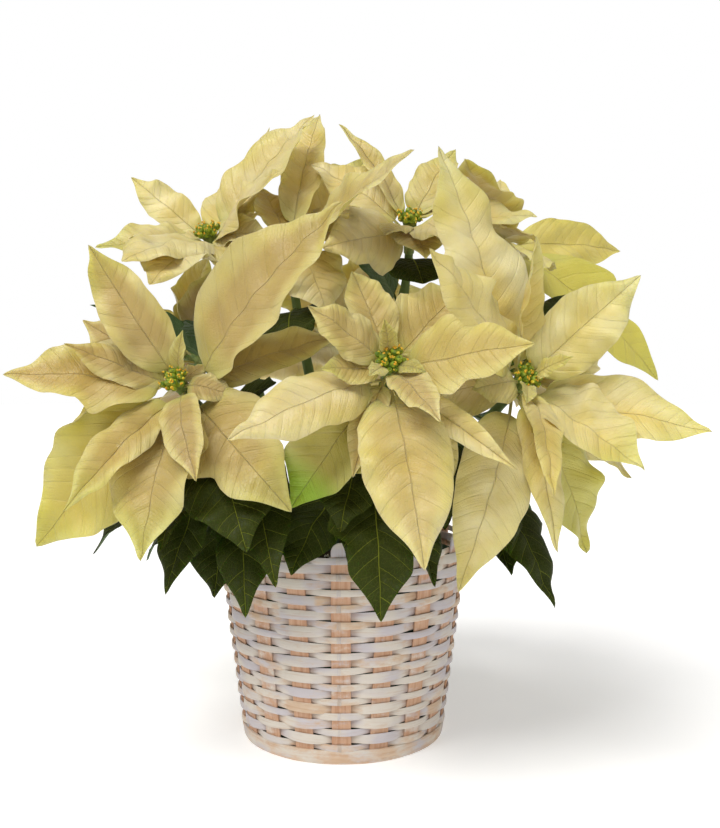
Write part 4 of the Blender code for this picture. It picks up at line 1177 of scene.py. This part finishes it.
def fine_half(blade, u, s, draw):
    """Half the blade's width in each column, with a ragged edge and a long thin tip."""
    phases = draw.uniform(0, math.tau, 2)
    shifts = draw.uniform(-TOOTH_SHIFT, TOOTH_SHIFT, 2)
    drip = 1 - TIP_DRIP * smooth(u, 0.68, 0.97)
    half = np.empty((len(u), len(s)))
    for phase, shift, where in zip(phases, shifts, (s < 0, s >= 0)):
        ragged = 1 + 0.020 * np.sin(17 * u + phase) + 0.012 * np.sin(41 * u + phase)
        moved = blade.width / 2 * outline(u) * tooth(np.clip(u + shift, 0, 1), blade.toothed)
        moved = moved * drip * ragged
        half[:, where] = np.maximum(moved, PETIOLE_HALF_WIDTH * (1 - u))[:, None]
    return half


def bent_face(blade, t, s, draw):
    """Places across the blade, the face's lift there, its place among the veins, and u."""
    length = blade.length()
    large = min(1.0, length / FULL_LENGTH)
    u = past_stalk(blade, t)
    phases = draw.uniform(0, math.tau, 4)
    counts = draw.uniform(1.1, 2.8, 2)
    wave_size = draw.uniform(*(LEAF_WAVES if blade.green else BRACT_WAVES))
    curl = draw.uniform(*CURL)
    half = fine_half(blade, u, s, draw)
    x = half * s
    size = np.abs(s)[None, :]
    body = smooth(u, 0.0, 0.12)[:, None]
    lift = half * (math.sin(math.radians(blade.fold)) * size**0.92 - curl * body * size**3.4)
    reach = (np.sin(math.pi * u) ** 0.6)[:, None]
    for side, where in enumerate((s < 0, s > 0)):
        wave = np.sin(math.tau * counts[side] * u + phases[side])
        wave += 0.35 * np.sin(math.tau * 2.3 * counts[side] * u + phases[side + 2])
        lift[:, where] += (wave_size * blade.width / 2 * reach * wave[:, None] * size**2.2)[:, where]
    y = (t * length)[:, None]
    spacing = length * (1 - blade.petiole) / VEIN_PAIRS
    vein = (y - 0.55 * np.abs(x) - 0.70 * x**2 / blade.width) / spacing
    vein = vein + 0.16 * np.sin(1.9 * vein + phases[0]) + 0.09 * np.sin(3.3 * vein + phases[1])
    quilt = np.abs(np.sin(math.pi * (vein + 0.5 * (s > 0)[None, :]))) ** 0.7
    depth = QUILT_DEPTH * large * (1.25 if blade.green else draw.uniform(0.5, 1.3))
    lift += depth * quilt * body * smooth(size, 0.02, 0.25) * (1 - 0.5 * size**4)
    lift -= GROOVE_DEPTH * body * np.exp(-((x / GROOVE_WIDTH) ** 2))
    for _ in range(WRINKLES):
        rate, over, turn = draw.uniform(110, 330), draw.uniform(-260, 260), draw.uniform(0, math.tau)
        lift += draw.uniform(*WRINKLE_DEPTH) * large * body * np.sin(rate * y + over * x + turn)
    return x, lift, vein, u


def skin(rows, wide):
    """Faces and slots of a blade: its top, its underside, its tip and its foot."""
    columns = wide - 1
    top = np.arange(rows * wide).reshape(rows, wide)
    low = top.copy()
    low[:, 1:-1] = rows * wide + np.arange(rows * (wide - 2)).reshape(rows, wide - 2)
    tip = rows * wide + rows * (wide - 2)
    faces = []
    for grid, flip in ((top, False), (low, True)):
        for i in range(rows - 1):
            for j in range(columns):
                a, b, c, d = grid[i, j], grid[i, j + 1], grid[i + 1, j + 1], grid[i + 1, j]
                faces.append((a, d, c, b) if flip else (a, b, c, d))
        for a, b in zip(grid[-1, :-1], grid[-1, 1:]):
            faces.append((b, a, tip) if flip else (a, b, tip))
    slots = [0] * (len(faces) // 2) + [1] * (len(faces) // 2) + [0]
    faces.append(tuple(top[0, ::-1]) + tuple(low[0, 1:-1]))
    return faces, slots


def fine_blade(blade, draw, gather, tint=(0.0, 0.0, 0.0), tan_and_shade=0.5):
    """A bract or leaf with a waved edge, a quilted face and a round stalk."""
    length = blade.length()
    rows, columns = LARGE_GRID if length > LARGE_LENGTH else SMALL_GRID
    stalk = np.linspace(0, blade.petiole, STALK_ROWS)[:-1]
    t = np.concatenate([stalk, np.linspace(blade.petiole, 1, rows)])
    s = np.sin(np.linspace(-0.5, 0.5, columns + 1) * math.pi)
    middle, across, normal = blade_frame(blade, t)
    x, lift, vein, u = bent_face(blade, t, s, draw)
    ends = (blade.petiole * 0.8, blade.petiole + 0.2)
    thick = np.interp(t, ends, (PETIOLE_THICKNESS, BLADE_THICKNESS))[:, None]
    thick = thick * np.sqrt(np.clip(1 - s**2, 0, 1))[None, :] / 2
    thick = thick * (1 - 0.6 * smooth(u, 0.8, 1.0))[:, None]
    spread = x * math.cos(math.radians(blade.fold))
    flat = middle[:, None] + spread[..., None] * across[:, None] + lift[..., None] * normal[:, None]
    offset = thick[..., None] * normal[:, None]

    def field(high, low, end):
        return np.concatenate([high[:-1].reshape(-1, 3), low[:-1, 1:-1].reshape(-1, 3), [end]])

    def stack(*parts):
        values = np.stack([np.broadcast_to(part, x.shape) for part in parts], 2)
        return values, values

    start = draw.uniform(0, 50, 2)
    # the bloom's level of tan and painted shade, with a random share of the bract's own tan
    share = min(max(tan_and_shade + draw.uniform(-0.4, 0.4), 0.0), 1.0)
    spot = field(*stack(x, (t * length)[:, None], 0.0), (0.0, length, 0.0))
    faces, slots = skin(len(t) - 1, columns + 1)
    gather.add(
        field(flat + offset, flat - offset, middle[-1]),
        faces,
        slots,
        spot=spot + (start[0], start[1], 0.0),
        vein=field(*stack(x, vein, u[:, None]), (0.0, vein[-1, columns // 2], 1.0)),
        tint=tint,
        tone=field(*stack(share, np.abs(s), 0.0), (share, 1.0, 0.0)),
    )


def closed_faces(steps, count):
    """Faces of a body whose rings of points close on themselves both ways."""
    faces = []
    for a in range(steps):
        b = (a + 1) % steps
        for i in range(count):
            j = (i + 1) % count
            faces.append((a * count + i, b * count + i, b * count + j, a * count + j))
    return faces


def capped_faces(rings, sides):
    """Faces of rings of points with a point before the first of them."""
    faces = [(0, 1 + k, 1 + (k + 1) % sides) for k in range(sides)]
    for i in range(rings - 1):
        for k in range(sides):
            a, b = 1 + i * sides + k, 1 + i * sides + (k + 1) % sides
            faces.append((a, a + sides, b + sides, b))
    return faces


def turned_points(profile, sides):
    """Points and faces of a body turned about Z; the profile starts and ends on the axis."""
    points = [(0.0, 0.0, profile[0][1])]
    for radius, z in profile[1:-1]:
        for k in range(sides):
            angle = math.tau * k / sides
            points.append((radius * math.cos(angle), radius * math.sin(angle), z))
    points.append((0.0, 0.0, profile[-1][1]))
    last = len(points) - 1
    faces = capped_faces(len(profile) - 2, sides)
    faces += [(last, last - sides + (k + 1) % sides, last - sides + k) for k in range(sides)]
    return np.array(points), faces


def ball(centre, radii, draw, rings=4, sides=6):
    """Points and faces of a small uneven round body."""
    arc = [math.pi * i / rings for i in range(rings + 1)]
    points, faces = turned_points([(math.sin(a), math.cos(a)) for a in arc], sides)
    points = points * draw.uniform(0.8, 1.15, (len(points), 1))
    return points * np.asarray(radii) + centre, faces


def turned_shell(profile, steps, gather, wobble=lambda angle: 0.0):
    """Add a body turned about Z from a closed profile of (radius, height) points."""
    points = []
    spot = []
    for k in range(steps):
        angle = math.tau * k / steps
        out = wobble(angle)
        for radius, z in profile:
            points.append(((radius + out) * math.cos(angle), (radius + out) * math.sin(angle), z))
            spot.append((angle * BASKET_BASE_RADIUS, z, 0.5))
    gather.add(points, closed_faces(steps, len(profile)), spot=np.array(spot))


def add_tube(gather, points, radii):
    """Add a closed stem through the points."""
    flat, faces = ring_tube(points, radii, STEM_SIDES)
    gather.add(flat, faces, 2)


def rolled_mean(values, steps):
    """Each value's mean with its neighbours at the steps."""
    return sum(np.roll(values, step) for step in steps) / len(steps)


def weaver(gather, low, high, narrow, seed, draw):
    """One weaver: a strip that runs outside every other stake and inside the rest."""
    steps = STAKE_COUNT * SEGMENT_STEPS
    angle = math.tau * np.arange(steps) / steps - math.pi / 2
    stakes = np.arange(steps) / SEGMENT_STEPS
    swing = np.cos(math.pi * stakes) * (1 if narrow else -1)
    swing = np.sign(swing) * np.abs(swing) ** 0.75
    segment = np.round(stakes).astype(int) % STAKE_COUNT
    height, change = NARROW_WEAVER if narrow else WIDE_WEAVER
    wide = (height + change * swing) * (1 + draw.uniform(-0.11, 0.09, STAKE_COUNT)[segment])
    wide = rolled_mean(wide, (0, 1, -1, 2, -2))
    wander = sum(WANDER * np.sin(angle * rate + draw.uniform(0, 6)) for rate in (3, 7))
    lean = rolled_mean(draw.uniform(-0.07, 0.07, STAKE_COUNT)[segment], (0, 3, -3))
    bulge = rolled_mean(BULGE * draw.uniform(0, 1, STAKE_COUNT)[segment], (0, 2, -2))
    pitch = (low + high) / 2
    outside = outer_radius(pitch) - WEAVER_THICKNESS / 2
    inside = outside - STAKE_THICKNESS - WEAVER_THICKNESS - WEAVE_ROOM
    radius = (outside + inside) / 2 + (outside - inside) / 2 * swing + bulge * np.clip(swing, 0, 1)
    count = len(WEAVER_PROFILE)
    points = np.empty((steps, count, 3))
    spot = np.empty((steps, count, 3))
    run = angle * outer_radius(pitch)
    for i, (out, up) in enumerate(WEAVER_PROFILE):
        r = radius + WEAVER_THICKNESS / 2 * out + lean * up * wide
        points[:, i] = np.stack([r * np.cos(angle), r * np.sin(angle), pitch + wander + up * wide], 1)
        spot[:, i] = np.stack([run, up * wide, np.full(steps, 3.7 * seed)], 1)
    tone = np.zeros((steps, count, 3))
    tone[:, :, 0] = draw.uniform(-0.35, 0.45) + draw.uniform(-0.35, 0.35, STAKE_COUNT)[segment][:, None]
    # painted shade: darker wood where the weaver runs behind a stake
    tone[:, :, 2] = 0.5 * smooth(-swing, 0.25, 0.9)[:, None]
    flat = [values.reshape(-1, 3) for values in (points, spot, tone)]
    gather.add(flat[0], closed_faces(steps, count), spot=flat[1], tone=flat[2])


def stake(gather, k, draw):
    """One upright stake with its rounded end."""
    middle = math.tau * k / STAKE_COUNT - math.pi / 2
    bow = np.sin(np.linspace(0.15, 1, 7) * math.pi / 2)
    end = BASKET_ROWS_TOP + (STAKE_END_TOP - BASKET_ROWS_TOP) * bow
    levels = np.concatenate([np.linspace(STAKE_FOOT, BASKET_ROWS_TOP, 30), end])
    over = np.clip((levels - (STAKE_END_TOP - STAKE_ROUNDING)) / STAKE_ROUNDING, 0, 1)
    width = STAKE_WIDTH / 2 * np.sqrt(np.clip(1 - 0.92 * over**2.2, 0.01, 1))
    width = width * (1 + 0.02 * np.sin(levels * 190 + k))
    columns, inset = (np.array(row) for row in zip(*STAKE_PROFILE))
    outer = outer_radius(levels) - WEAVER_THICKNESS - STAKE_ROOM
    lean = draw.uniform(-0.0004, 0.0004) * np.sin(20 * levels)
    across = columns * width[:, None] + lean[:, None]
    z = np.broadcast_to(levels[:, None], across.shape)
    points = []
    for side, thick in ((1, 0.0), (-1, STAKE_THICKNESS)):
        r = outer[:, None] - thick - side * inset
        x = r * math.cos(middle) - across * math.sin(middle)
        y = r * math.sin(middle) + across * math.cos(middle)
        points.append(np.stack([x, y, z], 2).reshape(-1, 3))
    spot = np.stack([across, z, np.full(z.shape, 5.3 * k)], 2).reshape(-1, 3)
    tall, wide = z.shape
    back = wide * tall
    faces = []
    for i in range(tall - 1):
        for j in range(wide - 1):
            a = i * wide + j
            faces.append((a, a + 1, a + wide + 1, a + wide))
            faces.append((back + a, back + a + wide, back + a + wide + 1, back + a + 1))
        for a in (i * wide, i * wide + wide - 1):
            faces.append((a, back + a, back + a + wide, a + wide))
    for i in (0, tall - 1):
        for a in range(i * wide, i * wide + wide - 1):
            faces.append((a, a + 1, back + a + 1, back + a))
    tone = np.zeros((back, 3))
    tone[:, 0] = draw.uniform(-0.4, 0.3)
    tone[:, 1] = 0.55 * smooth(z.ravel(), BASKET_ROWS_TOP - 0.001, BASKET_ROWS_TOP + 0.003)
    gather.add(np.concatenate(points), faces, spot=np.tile(spot, (2, 1)), tone=np.tile(tone, (2, 1)))


def woven_basket():
    """The stakes, the weavers and the hoop at the foot."""
    draw = np.random.default_rng(SEED)
    stakes = Mesher()
    for k in range(STAKE_COUNT):
        stake(stakes, k, draw)
    wood = wood_paint("stake_wood", STAKE_WOODS, -0.11, along=False)
    stakes.piece("basket_stakes", [wood], sharp=50)
    weavers = Mesher()
    for seed, (low, high, narrow) in enumerate(weave_levels()):
        if high > HOOP_HEIGHT * FIRST_WEAVER:
            weaver(weavers, low, high, narrow, seed, draw)
    washed = wood_paint("weaver_wood", WEAVER_WOODS, 0.18, along=True)
    weavers.piece("basket_weavers", [washed], ["basket_wall"], sharp=50)
    hoop = Mesher()
    foot, rim = outer_radius(0.0), outer_radius(HOOP_HEIGHT)
    inner_foot, inner_rim = foot - HOOP_THICKNESS, rim - HOOP_THICKNESS
    profile = [
        (foot - 0.0002, 0.0004), (foot + 0.0001, 0.0010), (rim + 0.0001, HOOP_HEIGHT - 0.0010),
        (rim - 0.0003, HOOP_HEIGHT - 0.0002), (inner_rim + 0.0003, HOOP_HEIGHT),
        (inner_rim, HOOP_HEIGHT - 0.0005), (inner_foot, 0.0005), (inner_foot + 0.0004, 0.0),
        (foot - 0.0006, 0.0),
    ]
    nicks = [draw.uniform(0, math.tau) for _ in range(NICKS)]

    def wobble(angle):
        cuts = [math.remainder(angle - at, math.tau) / NICK_WIDTH for at in nicks]
        return HOOP_WAVE * math.sin(9 * angle) - NICK_DEPTH * sum(math.exp(-(cut**2)) for cut in cuts)

    turned_shell(profile, HOOP_STEPS, hoop, wobble)
    band = wood_paint("hoop_wood", HOOP_WOODS, 0.06, along=True)
    hoop.piece("basket_foot_hoop", [band], ["basket_hoop"], sharp=40)


def growers_pot():
    """The plastic pot inside the basket, with the lip round its rim."""
    pot = Mesher()
    low = FLOOR_THICKNESS + GAP
    top = low + POT_HEIGHT
    rim, base = POT_RIM_RADIUS, POT_BASE_RADIUS
    inner = rim - 2 * POT_WALL
    profile = [
        (rim, top - 0.0006), (rim, top - POT_LIP), (rim - POT_WALL, top - POT_LIP - 0.0003),
        (base + 0.001, low + 0.004), (base - 0.001, low), (0.03, low), (0.001, low),
        (0.001, low + POT_WALL), (0.03, low + POT_WALL), (base - POT_WALL, low + POT_WALL + 0.001),
        (inner, top - 0.0006), (inner + 0.0005, top), (rim - 0.0005, top),
    ]
    turned_shell(profile, POT_STEPS, pot)
    greens = (0.020, 0.045, 0.024), (0.030, 0.060, 0.032)
    plastic = speckled_paint("pot_plastic_green", *greens, 0.42, 90.0, 0.00008)
    pot.piece("pot", [plastic], ["grower_pot"], sharp=35)


def potting_soil():
    """The uneven potting mix, with loose grains and bits of perlite on it."""
    draw = np.random.default_rng(SEED + 1)
    soil = Mesher()
    rings, sides = SOIL_GRID
    phases = draw.uniform(0, math.tau, (9, 2))
    rates = draw.uniform(90, 520, (9, 2))
    points = [(0.0, 0.0, SOIL_TOP)]
    for i in range(1, rings + 1):
        radius = (pot_inside(SOIL_TOP) - GAP) * i / rings
        for k in range(sides):
            angle = math.tau * (k + 0.5 * (i % 2)) / sides
            x, y = radius * math.cos(angle), radius * math.sin(angle)
            rough = sum(
                math.sin(rate[0] * x + phase[0]) * math.sin(rate[1] * y + phase[1])
                for rate, phase in zip(rates, phases)
            )
            z = SOIL_TOP + SOIL_ROUGHNESS * rough - SOIL_EDGE_DROP * (i / rings) ** 4
            points.append((x, y, z))
    bottom = len(points)
    low = FLOOR_THICKNESS + POT_WALL + 2 * GAP
    edge = pot_inside(low) - 2 * GAP
    for k in range(sides):
        angle = math.tau * k / sides
        points.append((edge * math.cos(angle), edge * math.sin(angle), low))
    faces = capped_faces(rings, sides)
    last = bottom - sides
    for k in range(sides):
        n = (k + 1) % sides
        faces.append((last + k, bottom + k, bottom + n, last + n))
    faces.append(tuple(bottom + k for k in reversed(range(sides))))
    soil.add(points, faces)
    for _ in range(GRAIN_COUNT):
        radius = GRAIN_REACH * math.sqrt(draw.uniform(0, 1))
        angle = draw.uniform(0, math.tau)
        size = draw.uniform(0.0008, 0.0022)
        white = int(draw.uniform(0, 1) < PERLITE_SHARE)
        centre = (radius * math.cos(angle), radius * math.sin(angle), SOIL_TOP + 0.3 * size)
        soil.add(*ball(centre, size * draw.uniform(0.7, 1.2, 3), draw), white)
    mix = speckled_paint("soil_mix", (0.016, 0.010, 0.006), (0.060, 0.038, 0.022), 0.95, 320.0, 0.0008)
    perlite = speckled_paint("perlite", (0.50, 0.48, 0.44), (0.68, 0.66, 0.62), 0.9, 700.0, 0.0003)
    soil.piece("soil", [mix, perlite], ["potting_mix"])


def stood(axis, right, up, points, foot):
    """Points made round Z, stood on the foot along the axis."""
    return foot + points[:, :1] * right + points[:, 1:2] * up + points[:, 2:3] * axis


def frame_on(axis):
    """Two directions across an axis."""
    hint = np.array((0.21, 0.31, 0.93)) if abs(axis[2]) < 0.9 else np.array((1.0, 0.0, 0.0))
    right = unit(np.cross(axis, hint))
    return right, np.cross(right, axis)


def flower_knot(name, paints):
    """The flower cups of a bloom: green cups with lobes, yellow glands and stamens."""
    draw = np.random.default_rng(SEED + 31 + list(BLOOMS).index(name))
    centre, axis, right, up = bloom_axes(name)
    knot = Mesher()
    disc, faces = turned_points(DISC_PROFILE, 16)
    knot.add(stood(axis, right, up, disc, centre), faces)
    for count, distance, turn, size in CUP_RINGS:
        for k in range(count):
            angle = math.tau * ((k + turn) / count) + draw.uniform(-0.25, 0.25)
            out = math.cos(angle) * right + math.sin(angle) * up
            way = unit(axis + (55 * distance) * out + draw.uniform(-0.12, 0.12, 3))
            foot = centre + distance * 0.85 * out - 0.0012 * axis
            flower_cup(knot, foot, way, size * draw.uniform(0.85, 1.15), draw)
    knot.piece("flower_cups_" + name, paints, ["cups_" + name])


def flower_cup(knot, foot, way, size, draw):
    """One cup that stands on the foot."""
    a, b = frame_on(way)
    r = CUP_RADIUS * size
    tall = CUP_HEIGHT * size

    def lip(turn, reach, height):
        return foot + height * way + reach * (math.cos(turn) * a + math.sin(turn) * b)

    cup, faces = turned_points([(out * r, z * tall) for out, z in CUP_PROFILE], 10)
    knot.add(stood(way, a, b, cup, foot), faces)
    for k in range(5):
        spot = lip(math.tau * k / 5 + draw.uniform(-0.3, 0.3), 0.45 * r, 0.93 * tall)
        knot.add(*ball(spot, (LOBE_RADIUS * size,) * 3, draw, 3, 5))
    if draw.uniform(0, 1) < 0.75:
        spot = lip(draw.uniform(0, math.tau), 0.95 * r, 0.66 * tall)
        knot.add(*ball(spot, np.array(GLAND_RADII) * size, draw, 4, 7), 1)
    if size > 0.6 and draw.uniform(0, 1) < 0.8:
        for _ in range(draw.integers(2, 6)):
            turn = draw.uniform(0, math.tau)
            reach = draw.uniform(0.2, 0.6) * r
            end = lip(turn, reach, tall + draw.uniform(0.0002, 0.0012))
            knot.add(*ball(end, (BEAD_RADIUS,) * 3, draw, 3, 5), 2)


def receptacle(gather, name):
    """The short green hub under a bloom."""
    centre, axis, right, up = bloom_axes(name)
    start = -(HUB_TOP + HUB_LENGTH)
    profile = [
        (0, start), (0.78 * HUB_RADIUS, start + 0.0002), (0.80 * HUB_RADIUS, start + 0.006),
        (0.98 * HUB_RADIUS, start + 0.015), (HUB_RADIUS, -HUB_TOP - 0.001),
        (0.9 * HUB_RADIUS, -HUB_TOP), (0, -HUB_TOP),
    ]
    points, faces = turned_points(profile, 16)
    gather.add(stood(axis, right, up, points, centre), faces, 2)


def bloom_piece(name, blades, paints):
    """The bracts of a bloom with its hub."""
    gather = Mesher()
    for number, blade in enumerate(blades):
        draw = np.random.default_rng((SEED, list(BLOOMS).index(name), number))
        tint = TINTS.get((name, blade.row))
        if tint is None:
            tip = 0.30 * draw.uniform(0, 1) ** 3
            tint = (tip, 0.08 * draw.uniform(0, 1) ** 2, 0.30 * draw.uniform(0, 1) ** 2)
        fine_blade(blade, draw, gather, tint, BLOOM_TAN_AND_SHADE[name])
    for number, (bloom, offset, width) in enumerate(TINY_BRACTS):
        if bloom == name:
            draw = np.random.default_rng((SEED, 77, number))
            blade = bract(name, offset, width, TINY_DEPTH, TINY_DISTANCE, arch=0.10, fold=16.0)
            fine_blade(blade, draw, gather, (0.25, 0.20, 0.2))
    receptacle(gather, name)
    gather.piece("bloom_" + name, paints, ["bracts_" + name])


def plant_piece(plant, blades, paints):
    """A plant's green leaves and stems."""
    leaves = Mesher()
    place = list(PLANTS).index(plant)
    for number, blade in enumerate(blades):
        fine_blade(blade, np.random.default_rng((SEED, 500 + place, number)), leaves)
    (x, y), blooms = PLANTS[plant]
    draw = np.random.default_rng((SEED, 900 + place))
    low = SOIL_TOP - 0.010
    heights = np.linspace(low, FORK_HEIGHT + TRUNK_ABOVE_FORK, 12)
    radii = np.interp(heights, (low, FORK_HEIGHT), (TRUNK_RADIUS, TRUNK_TOP_RADIUS))
    add_tube(leaves, [(x * MM, y * MM, z) for z in heights], radii * (1 + 0.05 * np.sin(heights * 700)))
    for bloom in blooms:
        points = shoot_points(plant, bloom, 40)
        t = np.linspace(0, 1, len(points))
        radii = SHOOT_RADIUS * (1 + SHOOT_TAPER * (1 - t))
        for knot in draw.uniform(0.1, 0.95, 7):
            radii = radii * (1 + 0.10 * np.exp(-(((t - knot) / 0.02) ** 2)))
        add_tube(leaves, points, radii)
    leaves.piece("leaves_" + plant, paints, [plant])


def dress_nodes():
    """Give the board its own surface."""
    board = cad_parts["basket_base"]
    paint = speckled_paint("board_wood", (0.36, 0.24, 0.14), (0.50, 0.36, 0.23), 0.8, 120.0, 0.0003)
    board.data.materials.clear()
    board.data.materials.append(paint)


def pale_floor():
    """A wide white floor that glows a little, so that shadows on it stay light."""
    mesh = bpy.data.meshes.new("floor")
    turns = [math.tau * k / FLOOR_SIDES for k in range(FLOOR_SIDES)]
    ring = [(FLOOR_RADIUS * math.cos(turn), FLOOR_RADIUS * math.sin(turn), 0.0) for turn in turns]
    mesh.from_pydata(ring, [], [tuple(range(FLOOR_SIDES))])
    floor = placed("floor", mesh)
    paint = Paint("floor_white", Specular_IOR_Level=0.0)
    paint.put(paint.shader.inputs["Emission Color"], (1.0, 1.0, 1.0))
    paint.shader.inputs["Emission Strength"].default_value = FLOOR_GLOW
    mesh.materials.append(paint.done((0.90, 0.90, 0.90), 1.0))


def studio_light():
    """White all round, brighter to the camera than to the part, with soft suns."""
    world = bpy.data.worlds.new("studio")
    bpy.context.scene.world = world
    world.use_nodes = True
    tree = world.node_tree
    background = tree.nodes["Background"]
    path = tree.nodes.new("ShaderNodeLightPath")
    level = tree.nodes.new("ShaderNodeMapRange")
    level.inputs["To Min"].default_value = AMBIENT
    level.inputs["To Max"].default_value = 1.0
    tree.links.new(path.outputs["Is Camera Ray"], level.inputs["Value"])
    tree.links.new(level.outputs[0], background.inputs["Strength"])
    background.inputs["Color"].default_value = (1.0, 1.0, 1.0, 1.0)
    for name, source, spread, power, colour in LIGHTS:
        light = bpy.data.lights.new(name, "SUN")
        light.angle = math.radians(spread)
        light.energy = power
        light.color = colour
        lamp = placed(name, light)
        lamp.location = source
        lamp.rotation_euler = Vector(source).to_track_quat("Z", "Y").to_euler()
    bpy.context.scene.view_settings.view_transform = "Standard"


def place_camera():
    """The camera at the photograph's viewing angle."""
    lens = bpy.data.cameras.new("camera")
    lens.sensor_width = 36.0
    lens.lens = FOCAL_PIXELS / PHOTO_HEIGHT * lens.sensor_width
    camera = placed("camera", lens)
    camera.location = CAMERA_PLACE
    camera.rotation_euler = (math.pi / 2 - CAMERA_PITCH, 0.0, 0.0)
    bpy.context.scene.camera = camera


def main():
    """Light the scene, then dress the basket, the soil, the plants and the blooms."""
    place_camera()
    pale_floor()
    studio_light()
    woven_basket()
    growers_pot()
    potting_soil()
    dress_nodes()
    blades = plan()
    hub = cup_paint("hub_green", (0.13, 0.20, 0.04), (0.24, 0.32, 0.08), 0.45)
    bracts = [bract_paint("bract"), bract_paint("bract_under", True), hub]
    leaves = [leaf_paint("leaf"), leaf_paint("leaf_under", True), stem_paint()]
    cups = [
        cup_paint("cup_green", (0.090, 0.170, 0.010), (0.360, 0.440, 0.030), 0.38),
        cup_paint("gland_yellow", (0.760, 0.540, 0.020), (0.860, 0.700, 0.080), 0.25),
        cup_paint("stamen_orange", (0.760, 0.360, 0.010), (0.860, 0.580, 0.040), 0.50),
    ]
    for plant in PLANTS:
        plant_piece(plant, [b for b in blades if b.node == plant], leaves)
    for name in BLOOMS:
        bloom_piece(name, [b for b in blades if b.node == "bracts_" + name], bracts)
        flower_knot(name, cups)


main()
